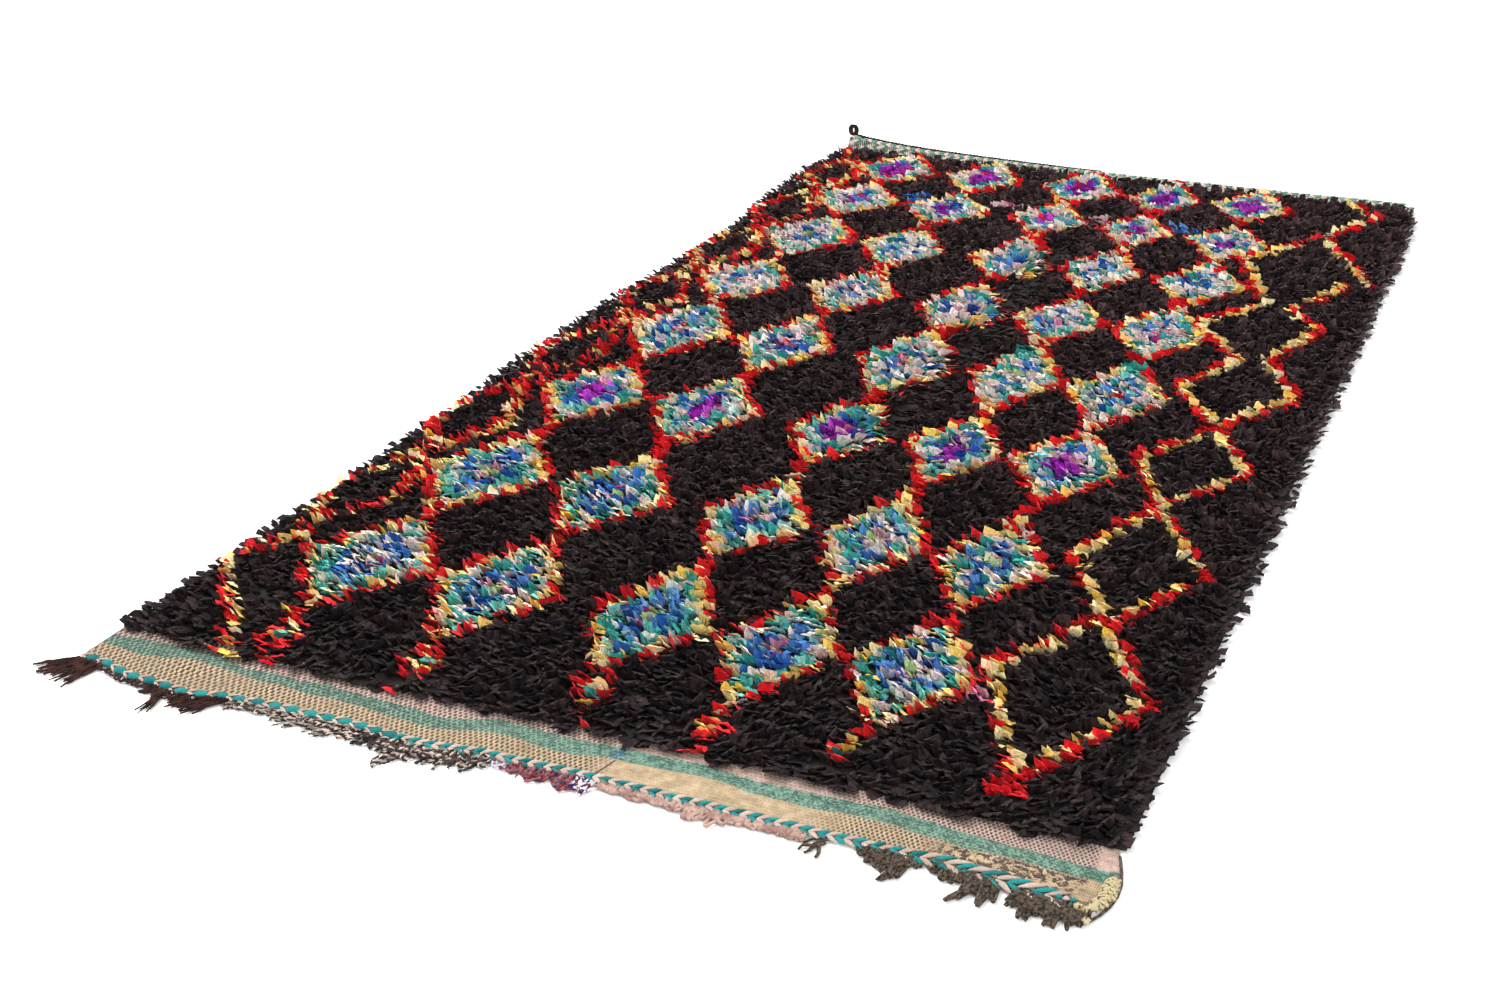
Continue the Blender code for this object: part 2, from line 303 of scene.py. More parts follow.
# A node tree that puts one of a collection's meshes on every point.
def scatterTree(kinds):
    tree = bpy.data.node_groups.new("scatter_" + kinds.name, "GeometryNodeTree")
    for way in ("INPUT", "OUTPUT"):
        tree.interface.new_socket("Geometry", in_out=way, socket_type="NodeSocketGeometry")
    start = addNode(tree, "NodeGroupInput")
    end = addNode(tree, "NodeGroupOutput")
    source = addNode(tree, "GeometryNodeCollectionInfo")
    source.inputs["Collection"].default_value = kinds
    source.inputs["Separate Children"].default_value = True
    source.inputs["Reset Children"].default_value = True
    place = addNode(tree, "GeometryNodeInstanceOnPoints")
    place.inputs["Pick Instance"].default_value = True
    realize = addNode(tree, "GeometryNodeRealizeInstances")
    for kind, name, socket in (
        ("INT", "kind", "Instance Index"),
        ("FLOAT_VECTOR", "turn", "Rotation"),
        ("FLOAT_VECTOR", "size", "Scale"),
    ):
        named = addNode(tree, "GeometryNodeInputNamedAttribute", data_type=kind)
        named.inputs["Name"].default_value = name
        feed(place.inputs[socket], named.outputs["Attribute"])
    feed(place.inputs["Points"], start.outputs[0])
    feed(place.inputs["Instance"], source.outputs["Instances"])
    feed(realize.inputs["Geometry"], place.outputs["Instances"])
    feed(end.inputs[0], realize.outputs["Geometry"])
    return tree


# Joins copies of the tree's meshes into one piece. A spot is (place, turn, size, kind, shade).
def joinCopies(name, spots, tree):
    mesh = bpy.data.meshes.new(name + "Spots")
    mesh.vertices.add(len(spots))
    mesh.vertices.foreach_set("co", [value for spot in spots for value in spot[0]])
    for key, index in (("turn", 1), ("size", 2)):
        layer = mesh.attributes.new(key, "FLOAT_VECTOR", "POINT")
        layer.data.foreach_set("vector", [value for spot in spots for value in spot[index]])
    for key, kind, index in (("kind", "INT", 3), ("shade", "FLOAT", 4)):
        layer = mesh.attributes.new(key, kind, "POINT")
        layer.data.foreach_set("value", [spot[index] for spot in spots])
    points = newObject(name + "Spots", mesh)
    points.modifiers.new("Scatter", "NODES").node_group = tree
    graph = bpy.context.evaluated_depsgraph_get()
    joined = bpy.data.meshes.new_from_object(points.evaluated_get(graph))
    joined.name = name
    for key in ("turn", "size", "kind"):
        if key in joined.attributes:
            joined.attributes.remove(joined.attributes[key])
    bpy.data.objects.remove(points, do_unlink=True)
    bpy.data.meshes.remove(mesh)
    return newObject(name, joined)


# Rag strips. Each is cut cloth, gathered at its knot into folds that spread to a ruffled end.
ragStrip = {"kinds": 12, "steps": 2, "seed": 11, "turnedUnder": 42.0}
ragCuts = {
    "bright": {
        "length": 0.0185,
        "rootHalf": 0.0046,
        "tipHalf": 0.0124,
        "foldHeight": 0.0022,
        "ragged": 0.0026,
        "curl": (8.0, 56.0),
    },
    "black": {
        "length": 0.0168,
        "rootHalf": 0.0050,
        "tipHalf": 0.0090,
        "foldHeight": 0.0028,
        "ragged": 0.0020,
        "curl": (4.0, 72.0),
    },
}


# One strip with rounded folds. Returns it with the middle of the part that shows.
def makeRagStrip(name, folds, cut, chance):
    length = cut["length"] * chance.uniform(0.8, 1.15)
    tipHalf = cut["tipHalf"] * chance.uniform(0.85, 1.2)
    curl = chance.uniform(*cut["curl"])
    pleated = -1.0 if curl < ragStrip["turnedUnder"] else 1.0  # the pleats face outwards
    sway = chance.uniform(-0.25, 0.25)
    twist = chance.uniform(-30.0, 30.0)
    cup = chance.uniform(-0.35, 0.15)
    bm = bmesh.new()
    layers = [bm.verts.layers.float.new(key) for key in ("across", "along", "ridge")]
    tops = 2 * folds + 1
    ring = bmesh.ops.create_circle(bm, segments=tops, radius=1.0, cap_ends=True)["verts"]
    face = ring[0].link_faces[0]
    fingers = [chance.uniform(-1.0, 1.0) for _ in range(tops)]
    section = []
    for number in range(tops):
        side = mix(-1.0, 1.0, number / (tops - 1))
        if 0 < number < tops - 1:
            side += chance.uniform(-0.12, 0.12)
        rise = chance.uniform(0.75, 1.25) if number % 2 else chance.uniform(-0.25, 0.15)
        if number in (0, tops - 1):
            rise -= 0.5
        section.append((side, rise))
    place = Vector((0.0, 0.0, 0.0))
    middles = []
    steps = ragStrip["steps"]
    for step in range(steps + 1):
        share = step / steps
        lean = math.radians(curl * share)  # starts upright, bends over towards -Y
        forward = Vector((0.0, -math.sin(lean), math.cos(lean)))
        up = Vector((0.0, math.cos(lean), math.sin(lean)))
        if step:
            face = bmesh.ops.extrude_discrete_faces(bm, faces=[face])["faces"][0]
            place = place + (forward + Vector((sway, 0.0, 0.0))) * (length / steps)
        half = mix(cut["rootHalf"], tipHalf, share**0.7)
        fold = pleated * cut["foldHeight"] * mix(0.9, 1.0, share)
        roll = math.radians(twist * share)
        if step == steps:
            half *= chance.uniform(0.75, 1.0)
            fold *= 0.5
        for vert, (side, rise), finger in zip(face.verts, section, fingers):
            corner = Vector((side * half, 0.0, 0.0))
            corner += up * (rise * fold + cup * half * side * side * share)
            corner = corner * math.cos(roll) + forward.cross(corner) * math.sin(roll)
            ragged = 0.0
            if step == steps:
                ragged = cut["ragged"] * (finger + (0.6 if rise > 0.5 else 0.0))
            vert.co = place + corner + forward * ragged
            for layer, value in zip(layers, (0.5 + 0.5 * side, share, min(max(rise, 0.0), 1.0))):
                vert[layer] = value
        middles.append(place.copy())
    closeHoles(bm)
    return hiddenKind(newMesh(bm, name, 75)), middles[-1].lerp(middles[-2], 0.5)


def makeRagStrips():
    kinds = bpy.data.collections.new("ragStrips")
    chance = random.Random(ragStrip["seed"])
    ends = []
    for number in range(2 * ragStrip["kinds"]):
        bright = number < ragStrip["kinds"]
        folds = 3 if bright and number % 4 == 3 else 2
        cut = ragCuts["bright" if bright else "black"]
        strip, end = makeRagStrip(f"rag{number:02d}", folds, cut, chance)
        kinds.objects.link(strip)
        ends.append(end)
    return scatterTree(kinds), ends


# Rag cloth: matt cotton and jersey, wrinkled along each strip, no two strips quite alike.
def ragMaterial(name, deep, middle, light, paintedShadeLift, wrinkleShadeRange, sheen, farSheenGain):
    material, tree, shader = newMaterial(name, 0.85, sheen, 0.12)
    where = objectCoordinates(tree)
    shade = attributeNode(tree, "shade")
    alongStrip = attributeNode(tree, "along")
    strip = addNode(tree, "ShaderNodeCombineXYZ")
    stretches = ((attributeNode(tree, "across"), 4.5), (alongStrip, 1.8), (shade, 60.0))
    for socket, (value, stretch) in zip(strip.inputs, stretches):
        feed(socket, times(value, stretch))
    wrinkle = noiseNode(strip.outputs[0], 1.0, 3.0, 0.55, 1.2)
    grain = noiseNode(where, 1100.0, 2.0, 0.5)
    tone = mixColour(rangeNode(shade, 0.0, 0.35), deep, middle)
    tone = mixColour(rangeNode(shade, 0.45, 0.9), tone, light)
    # Painted shade and painted highlight along the wrinkles.
    folds = rangeNode(wrinkle, 0.36, 0.64, 0.90 - wrinkleShadeRange + paintedShadeLift, 0.92 + wrinkleShadeRange)
    # Painted shade in the fold valleys.
    valleyShade = rangeNode(attributeNode(tree, "ridge"), 0.0, 0.8, 0.80 + paintedShadeLift, 1.04)
    # Painted shade near the knot, where the strips gather.
    rootShade = rangeNode(alongStrip, 0.0, 0.6, 0.55 + paintedShadeLift, 1.0)
    # Painted sheen: the cloth grows lighter towards the far end, most for the black.
    farSheen = rangeNode(splitNode(where)[1], -1.2, 1.3, 1.0, farSheenGain)
    for amount in (times(folds, valleyShade), rootShade, farSheen):
        tone = dimmed(tone, amount)
    finishShader(shader, tone, timesPlus(grain, 0.12, wrinkle), 1.0, 0.0060)
    return material


# The cloths that the knots are cut from: deep, middle and light strips of each.
ragCloths = {
    "black": ((0.0082, 0.0043, 0.0052), (0.0182, 0.0098, 0.0110), (0.042, 0.0256, 0.0262)),
    "red": ((0.58, 0.001, 0.007), (0.98, 0.003, 0.014), (1.0, 0.018, 0.024)),
    "gold": ((0.99, 0.60, 0.07), (0.99, 0.76, 0.26), (0.99, 0.88, 0.52)),
    "teal": ((0.008, 0.26, 0.24), (0.06, 0.53, 0.47), (0.34, 0.80, 0.72)),
    "blue": ((0.012, 0.07, 0.42), (0.030, 0.19, 0.68), (0.18, 0.44, 0.86)),
    "pale": ((0.80, 0.54, 0.52), (0.95, 0.78, 0.72), (0.96, 0.90, 0.82)),
    "pink": ((0.75, 0.03, 0.30), (0.90, 0.30, 0.50), (0.95, 0.58, 0.66)),
    "purple": ((0.28, 0.005, 0.36), (0.50, 0.020, 0.58), (0.68, 0.09, 0.76)),
    "lime": ((0.36, 0.60, 0.18), (0.56, 0.78, 0.32), (0.72, 0.86, 0.50)),
}
ragLooks = {
    # how much its painted fold and knot shade is lifted, the range of painted shade and highlight along
    # its wrinkles, sheen, and how much painted sheen lightens it towards the far end
    "black": (0.0, 0.5, 0.02, 3.0),
    "gold": (0.20, 0.2, 0.07, 1.0),
    "pale": (0.12, 0.2, 0.07, 1.0),
}
plainLook = (0.0, 0.2, 0.07, 1.0)
blackPieces = "ABCD"  # the black strips are in four pieces

# Diamonds stand in rows and columns. A row gives its middle, half length and inmost cloth.
diamond = {
    "seed": 23,
    "blur": 0.03,
    "reach": 1.11,
    "linkHalf": 0.010,
    "linkReach": 1.25,
    "palerFrom": (1.0, 1.8),
}
diamondRows = (
    # y, half length, inmost
    (0.370, 0.165, "lime"),
    (0.715, 0.160, "lime"),
    (1.085, 0.160, "purple"),
    (1.425, 0.165, "rose"),
    (1.755, 0.155, "cream"),
    (2.080, 0.150, "lime"),
    (2.380, 0.135, "plum"),
    (2.655, 0.135, "violet"),
)
diamondColumns = (
    # x near end, x far end, half width
    (0.187, 0.172, 0.100),
    (0.402, 0.386, 0.092),
    (0.645, 0.615, 0.085),
    (0.832, 0.812, 0.080),
    (1.000, 1.010, 0.084),
)

# Rings of a diamond from its rim inwards: how far in each starts, and its cloths.
diamondRings = (
    (0.98, ("red",) * 14 + ("gold",)),
    (0.83, ("gold",) * 8 + ("pale", "pale", "red")),
    (0.62, ("teal",) * 7 + ("pale",) * 4 + ("gold",)),
    (0.40, ("blue",) * 5 + ("pale",) * 3 + ("teal",) * 4),
    (0.22, ("blue",) * 5 + ("pale", "pale", "pale", "teal")),
    (0.12, ("pink",) * 3 + ("pale", "pale", "blue")),
)
palerRings = (  # in the rows further from the fringe
    (1.00, ("red",) * 14 + ("gold",)),
    (0.85, ("gold",) * 7 + ("pale", "pale", "red")),
    (0.62, ("teal",) * 4 + ("pale",) * 6),
    (0.36, ("pale",) * 7 + ("teal", "blue", "blue")),
    (0.14, ("blue",) * 5 + ("pale", "pale", "pale", "teal")),
)
diamondMiddles = {
    "lime": (0.14, ("lime", "lime", "lime", "pink")),
    "purple": (0.36, ("purple",) * 8 + ("pink",)),
    "rose": (0.22, ("pink", "pink", "pale", "lime", "red")),
    "cream": (0.22, ("pale", "pale", "pale", "pink")),
    "plum": (0.30, ("purple",) * 6 + ("red", "blue")),
    "violet": (0.50, ("purple",) * 14 + ("blue", "red")),
}

# Small diamonds hang below each column, at the near end.
drop = {"blur": 0.06, "reach": 1.05, "goldFrom": 0.62, "tealFrom": 0.28}
dropDiamonds = (
    # x, y, half width, half length
    (0.205, 0.145, 0.040, 0.048),
    (0.420, 0.150, 0.034, 0.050),
    (0.660, 0.160, 0.027, 0.045),
    (0.825, 0.155, 0.027, 0.045),
    (0.990, 0.160, 0.017, 0.050),
)

# Open lozenges run up both sides in one or two rows of knots, each line by its corners.
borderLines = (
    (
        (1.195, 0.175), (1.090, 0.420), (1.190, 0.600), (1.100, 0.790), (1.178, 1.000),
        (1.105, 1.165), (1.195, 1.335), (1.095, 1.500), (1.165, 1.670), (1.060, 1.840),
        (1.152, 2.000), (1.062, 2.280), (1.195, 2.500), (1.275, 2.690), (1.185, 2.820),
    ),
    (
        (1.195, 0.175), (1.300, 0.400), (1.200, 0.600), (1.290, 0.780), (1.182, 1.000),
        (1.278, 1.175), (1.195, 1.335), (1.295, 1.520), (1.220, 1.680), (1.275, 1.900),
        (1.205, 1.990), (1.285, 2.180),
    ),
    ((1.325, 2.200), (1.195, 2.500)),
    ((0.180, 0.060), (0.120, 0.150), (-0.012, 0.310)),
)
borderMiddle = 1.19
leftPinches = (0.460, 0.740, 1.100, 1.430, 1.770, 2.095, 2.430, 2.690)
leftChain = {"x": 0.052, "half": 0.060, "seed": 31}

# Single patches of another cloth.
patches = (
    # x, y, half width, half length, cloths
    (0.290, 2.450, 0.030, 0.034, ("blue", "blue", "black")),
    (0.915, 2.435, 0.040, 0.026, ("blue", "blue", "black")),
    (0.500, 2.470, 0.030, 0.020, ("pink", "pale", "black")),
    (0.720, 2.450, 0.020, 0.036, ("pink", "pale", "black")),
    (0.805, 1.545, 0.020, 0.034, ("teal",)),
    (1.008, 1.545, 0.020, 0.034, ("teal",)),
    (1.195, 0.170, 0.020, 0.028, ("red",)),
    (1.103, 0.345, 0.014, 0.012, ("pink",)),
    (0.150, 0.090, 0.018, 0.018, ("red", "gold")),
    (0.225, 0.080, 0.014, 0.016, ("red",)),
    (0.420, 0.078, 0.010, 0.012, ("red",)),
    (0.675, 0.085, 0.010, 0.012, ("red",)),
    (0.823, 0.092, 0.010, 0.020, ("red",)),
)

pile = {
    "across": 0.0109,
    "alongRows": 0.0126,
    "seed": 5,
    "slabHeight": 0.023,
    "rootHeight": 0.0042,
    "lineHalf": 0.0125,
    "bedShare": 0.30,
    "bedGrid": (60, 110),
    "bedLumps": 0.0028,
    "bedFloor": 0.0034,
    "aside": 0.0035,
    "ahead": 0.0045,
    "lean": 0.12,
    "rearFrom": 2.70,
    "rimTall": 0.80,
    "rimWide": 0.90,
}


def leftBorderLines():
    chance = random.Random(leftChain["seed"])
    x, half = leftChain["x"], leftChain["half"]
    outer = [(x, leftPinches[0] - 0.06)]
    inner = [outer[0]]
    for low, high in zip(leftPinches, leftPinches[1:]):
        middle = 0.5 * (low + high)
        outer.append((x + chance.uniform(-0.01, 0.01), low))
        inner.append(outer[-1])
        outer.append((x - half - 0.012, middle + chance.uniform(-0.02, 0.02)))
        inner.append((x + half, middle + chance.uniform(-0.02, 0.02)))
    for line in (outer, inner):
        line.append((x - 0.01, leftPinches[-1]))
    outer.append((x - half, 2.800))
    return (outer, inner, ((-0.012, 0.310), (0.052, 0.400)))


def diamondTable():
    chance = random.Random(diamond["seed"])
    table = []
    for rowY, halfLength, inmost in diamondRows:
        for nearX, farX, halfWidth in diamondColumns:
            x = mix(nearX, farX, rowY / rug["pileFar"]) + chance.uniform(-0.006, 0.006)
            y = rowY + chance.uniform(-0.008, 0.008)
            halfX = halfWidth * chance.uniform(0.95, 1.06)
            halfY = halfLength * chance.uniform(0.96, 1.06)
            table.append((x, y, halfX, halfY, inmost))
    return table


# How far a place is from a line, and how far to its right.
def distanceTo(x, y, route):
    best, side = 9.0, 0.0
    for (x0, y0), (x1, y1) in zip(route, route[1:]):
        dx, dy = x1 - x0, y1 - y0
        share = ((x - x0) * dx + (y - y0) * dy) / (dx * dx + dy * dy)
        share = min(max(share, 0.0), 1.0)
        gapX, gapY = x - x0 - share * dx, y - y0 - share * dy
        gap = math.hypot(gapX, gapY)
        if gap < best:
            best, side = gap, gapX
    return best, side


def ringCloth(reach, inmost, paler, chance):
    limit, cloths = diamondMiddles[inmost]
    if reach < limit:
        return chance.choice(cloths)
    for start, cloths in palerRings if paler else diamondRings:
        if reach > start:
            return chance.choice(cloths)
    return chance.choice(diamondMiddles[inmost][1])


def clothAt(x, y, chance, diamonds, messy):
    for px, py, halfX, halfY, cloths in patches:
        if abs(x - px) < halfX and abs(y - py) < halfY:
            return chance.choice(cloths)
    for cx, cy, halfX, halfY, inmost in diamonds:
        offX, offY = abs(x - cx), abs(y - cy)
        if offY > 1.3 * halfY or offX > 1.2 * halfX:
            continue
        blur = chance.uniform(-diamond["blur"], diamond["blur"])
        reach = offX / halfX + offY / halfY + blur
        if reach < diamond["reach"]:
            paler = cy > chance.uniform(*diamond["palerFrom"])
            return ringCloth(reach, inmost, paler, chance)
        if offX < diamond["linkHalf"] and offY < diamond["linkReach"] * halfY:
            return chance.choice(("red", "red", "red", "gold"))
    for cx, cy, halfX, halfY in dropDiamonds:
        blur = chance.uniform(-drop["blur"], drop["blur"])
        reach = abs(x - cx) / halfX + abs(y - cy) / halfY + blur
        if reach < drop["reach"]:
            if reach > drop["goldFrom"]:
                return "red"
            return "gold" if reach > drop["tealFrom"] else "teal"
    for line in borderLines:
        gap, side = distanceTo(x, y, line)
        if gap < pile["lineHalf"] * chance.uniform(0.75, 1.15):
            inwards = side if x < borderMiddle else -side
            return "gold" if inwards > chance.uniform(-0.003, 0.003) else "red"
    for line in messy:
        gap = distanceTo(x, y, line)[0]
        if gap < 1.25 * pile["lineHalf"] * chance.uniform(0.5, 1.35):
            return chance.choice(("red", "red", "red", "gold", "gold", "black"))
    return "black"


# The rims of the pile wander in and out: as (place along the rug, how far out).
leftRim = (
    (0.0, 0.006), (0.5, 0.008), (0.9, 0.012), (1.2, 0.026), (1.5, 0.030), (1.8, 0.018),
    (2.1, 0.010), (2.4, 0.036), (2.6, 0.040), (2.8, 0.026),
)
rightRim = (
    (0.0, -0.014), (0.2, -0.011), (0.45, 0.0), (2.2, 0.002), (2.32, 0.006), (2.5, 0.004),
    (2.7, -0.004), (2.8, -0.018),
)

# Where the first row of knots lies, across the rug.
nearRim = ((0.0, 0.090), (0.15, 0.079), (0.30, 0.084), (0.50, 0.089), (0.80, 0.095), (1.35, 0.103))

# An old fold parts the pile along its middle: a furrow, with the strips left of it fanned over and
# painted shade on the strips in it.
furrow = {
    "x": 0.672,
    "half": 0.027,
    "fan": 0.062,
    "near": 0.96,
    "far": 2.36,
    "deep": 0.72,
    "raised": 0.40,
    "lean": 0.60,
    "turn": 1.15,
}


def furrowAt(x, y):
    strength = ease((y - furrow["near"]) / 0.10) * ease((furrow["far"] - y) / 0.20)
    aside = x - furrow["x"] - 0.006 * noise.noise(Vector((0.0, y * 7.0, 2.2)))
    sunk = math.exp(-((aside / furrow["half"] - 0.8) ** 2))
    fanned = ease((aside + furrow["fan"]) / furrow["fan"]) if aside < 0.0 else 0.0
    return strength * sunk, strength * fanned


def heightUnder(surface, spot, default):
    hit = surface.ray_cast(spot, Vector((0.0, 0.0, -1.0)))[0]
    return hit.z if hit else default


def makePileBed(surface):
    bm = bmesh.new()
    columns, rows = pile["bedGrid"]
    bmesh.ops.create_grid(bm, x_segments=columns, y_segments=rows, size=0.5)
    for vert in bm.verts:
        x = mix(rug["left"] + 0.004, rug["right"] - 0.004, vert.co.x + 0.5)
        y = mix(rug["pileNear"] + 0.004, rug["pileFar"] - 0.004, vert.co.y + 0.5)
        spot = toFrame(x, y, 0.2)
        top = heightUnder(surface, spot, 0.012) * pile["bedShare"]
        top += pile["bedLumps"] * noise.noise(Vector((x * 90.0, y * 90.0, 4.4)))
        vert.co = Vector((spot.x, spot.y, max(top, 0.0045)))
    rim = [edge for edge in bm.edges if edge.is_boundary]
    skirt = bmesh.ops.extrude_edge_only(bm, edges=rim)["geom"]
    for part in skirt:
        if isinstance(part, bmesh.types.BMVert):
            part.co.z = pile["bedFloor"]
    closeHoles(bm)
    bed = newMesh(bm, "pileBed", 60)
    # Near black, as the black knot bases are, and also painted shade in the gaps between the tufts,
    # under the coloured ones too.
    material, tree, shader = newMaterial("knotBedPaintedShade", 0.95, 0.0)
    lumps = noiseNode(objectCoordinates(tree), 160.0, 3.0, 0.6)
    colour = mixColour(lumps, (0.008, 0.006, 0.006), (0.022, 0.018, 0.016))
    finishShader(shader, colour, lumps, 1.0, 0.004)
    return finishPiece(bed, material, "rag_pile", "pile")


resting = {"onWeave": 0.0032, "onFloor": 0.0008, "soft": 0.004}


# Keeps a piece's points off the floor, and off the weave inside its edges.
def layOnFloor(obj):
    mesh = obj.data
    coords = np.empty(len(mesh.vertices) * 3, dtype=np.float32)
    mesh.vertices.foreach_get("co", coords)
    coords = coords.reshape(-1, 3)
    x = coords[:, 0] + rug["cornerX"]
    inside = (x > rug["left"]) & (x < rug["right"])
    low = np.where(inside, resting["onWeave"], resting["onFloor"])
    soft = resting["soft"]
    z = coords[:, 2]
    pressed = low + soft * np.exp(np.minimum((z - low - soft) / soft, 0.0))
    coords[:, 2] = np.where(z < low + soft, pressed, z)
    mesh.vertices.foreach_set("co", coords.ravel())
    mesh.update()


def makePile():
    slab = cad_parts["pile"]
    surface = BVHTree.FromObject(slab, bpy.context.evaluated_depsgraph_get())
    chance = random.Random(pile["seed"])
    tree, ends = makeRagStrips()
    spots = {cloth: [] for cloth in ragCloths}
    diamonds = diamondTable()
    messy = leftBorderLines()
    rows = round((rug["pileFar"] - rug["pileNear"]) / pile["alongRows"])
    columns = round((rug["right"] - rug["left"]) / pile["across"])
    for row in range(rows + 1):
        y0 = mix(rug["pileNear"] + 0.004, rug["pileFar"] + 0.016, row / rows)
        rearing = 1.0 + 0.5 * ease((y0 - pile["rearFrom"]) / 0.08)  # the last rows stand up
        lean = pile["lean"] - 0.5 * (rearing - 1.0)
        shift = 0.25 * pile["across"] * (1 if row % 2 else -1)
        first = rug["left"] + 0.008 - along(leftRim, y0)
        last = rug["right"] + along(rightRim, y0)
        for column in range(columns + 1):
            x = mix(first, last, column / columns) + shift
            x += chance.uniform(-pile["aside"], pile["aside"])
            y = y0 + chance.uniform(-pile["ahead"], pile["ahead"])
            y += (along(nearRim, x) - rug["pileNear"]) * (1.0 - ease((y0 - 0.1) / 0.2))
            spot = toFrame(x, y, 0.2)
            tall = max(heightUnder(surface, spot, 0.016), 0.014) / pile["slabHeight"]
            tall *= chance.uniform(0.9, 1.15) * rearing
            width = chance.uniform(0.85, 1.15)
            kind = chance.randrange(ragStrip["kinds"])
            flow = noise.noise(Vector((x * 5.0, y * 4.0, 1.7)))  # how the pile is combed
            yaw = 0.8 * flow + chance.gauss(0.0, 0.5)
            turn = Euler((chance.gauss(lean, 0.18), chance.gauss(0.0, 0.18), 0.5 * yaw))
            end = ends[kind] * Vector((width, width, tall))
            end.rotate(turn)
            cloth = clothAt(x + end.x, y + end.y, chance, diamonds, messy)
            if cloth == "black":
                kind += ragStrip["kinds"]
                width *= 1.08 * mix(1.25, 1.0, ease((y0 - 0.1) / 0.5))
                turn = Euler((chance.gauss(lean, 0.22), chance.gauss(0.0, 0.22), yaw))
            sunk, fanned = furrowAt(x, y)
            tall *= 1.0 - furrow["deep"] * sunk * (1.0 - fanned) + furrow["raised"] * fanned
            turn.x += furrow["lean"] * fanned
            turn.z = mix(turn.z, furrow["turn"], 0.85 * fanned)
            # A random tone for each strip, pulled darker in the furrow as painted shade.
            shade = chance.random() * (1.0 - 0.7 * sunk)
            if min(column, columns - column) < 2:  # along the rims they droop outwards
                side = 1.0 if column > 2 else -1.0
                tall *= pile["rimTall"]
                width *= pile["rimWide"]
                turn = Euler((turn.x + 0.2, 0.0, side * chance.gauss(1.1, 0.3)))
                spot.x -= 0.005 * side
            place = (spot.x, spot.y, pile["rootHeight"])
            spots[cloth].append((place, tuple(turn), (width, width, tall), kind, shade))
    made = [makePileBed(surface)]
    for cloth, tones in ragCloths.items():
        material = ragMaterial(cloth + "Rag", *tones, *ragLooks.get(cloth, plainLook))
        parts = blackPieces if cloth == "black" else [""]
        for number, part in enumerate(parts):
            name = cloth + "Tufts" + part
            obj = joinCopies(name, spots[cloth][number::len(parts)], tree)
            layOnFloor(obj)
            made.append(finishPiece(obj, material, "rag_pile"))
            print(name, len(obj.data.polygons))
    print("pile ready")
    return made


# Woven ground. It is seen as a striped band at both ends and lies flat under the pile.
weave = {
    "thick": 0.0026,
    "columns": 150,
    "nearRows": 26,
    "middleRows": 12,
    "farRows": 8,
    "bandTop": 0.115,  # the near band reaches a little way under the pile
    "rough": 0.0006,
    "twineHalf": 0.0072,
    "flatFrom": 0.074,
    "farBandFrom": 2.785,
    "farLift": 0.009,
    "cornerLift": 0.025,
    "cornerReach": 0.17,
    "threads": (700.0, 160.0),
    "waver": 0.005,
    "rows": (370.0, 190.0),
}

# The near cord's middle line, and soft swells of the band beside it.
nearLine = (
    (-0.030, 0.006), (0.010, 0.002), (0.100, -0.017), (0.165, -0.024), (0.240, -0.011),
    (0.300, -0.006), (0.400, -0.004), (0.500, -0.010), (0.600, -0.001), (0.740, 0.005),
    (0.850, 0.001), (1.160, 0.002), (1.300, -0.011), (1.360, -0.012),
)
swells = (
    # x, half width, height
    (0.130, 0.055, 0.0055),
    (0.300, 0.060, 0.0015),
    (0.620, 0.055, 0.0050),
    (0.870, 0.080, 0.0030),
    (1.080, 0.060, 0.0015),
    (1.230, 0.060, 0.0040),
)

# The right edge of the ground, from the near corner to under the pile.
groundRight = (
    (-0.020, 1.334), (-0.008, 1.344), (0.010, 1.352), (0.032, 1.354), (0.060, 1.350),
    (0.095, 1.341), (0.110, 1.338),
)

# Where the cream and the green stripes end, measured along the rug.
creamTop = (
    (0.00, 0.040), (0.09, 0.037), (0.14, 0.046), (0.19, 0.046), (0.35, 0.037), (0.49, 0.030),
    (0.60, 0.046), (0.66, 0.036), (0.75, 0.049), (0.87, 0.054), (0.95, 0.046), (1.04, 0.049),
    (1.12, 0.046), (1.20, 0.035), (1.35, 0.033),
)
greenTop = (
    (0.00, 0.067), (0.09, 0.074), (0.14, 0.076), (0.19, 0.062), (0.35, 0.064), (0.49, 0.056),
    (0.60, 0.078), (0.66, 0.073), (0.75, 0.078), (0.87, 0.079), (0.95, 0.074), (1.04, 0.079),
    (1.12, 0.074), (1.20, 0.063), (1.35, 0.060),
)

# Stripe numbers along the ground: cream 0 to 1, green to 2, pink to 3, far band 5 to 6.
weaveColours = {
    "cream": (0.33, 0.235, 0.130),
    "butter": (0.46, 0.335, 0.200),
    "green": (0.024, 0.095, 0.064),
    "greenLight": (0.155, 0.29, 0.21),
    "pink": (0.36, 0.235, 0.190),
    "pinkLight": (0.48, 0.335, 0.280),
    "brown": (0.030, 0.014, 0.009),
    "blue": (0.02, 0.06, 0.22),
    "farBrown": (0.045, 0.035, 0.028),
    "farPale": (0.56, 0.46, 0.38),
    "farGreen": (0.045, 0.16, 0.12),
}


def swell(x, y):
    total = sum(height * math.exp(-(((x - at) / half) ** 2)) for at, half, height in swells)
    rise = mix(0.35, 1.0, ease((y - 0.005) / 0.03))
    return total * rise * (1.0 - ease((y - 0.045) / (weave["flatFrom"] - 0.045)))


def farLift(x):
    return weave["farLift"] + weave["cornerLift"] * math.exp(-max(x, 0.0) / weave["cornerReach"])


def farShare(y):
    return (y - weave["farBandFrom"]) / (rug["farEdge"] - weave["farBandFrom"])


def weaveBase(x, y):
    if y < weave["flatFrom"]:
        return swell(x, y)
    return farLift(x) * max(farShare(y), 0.0) ** 1.5


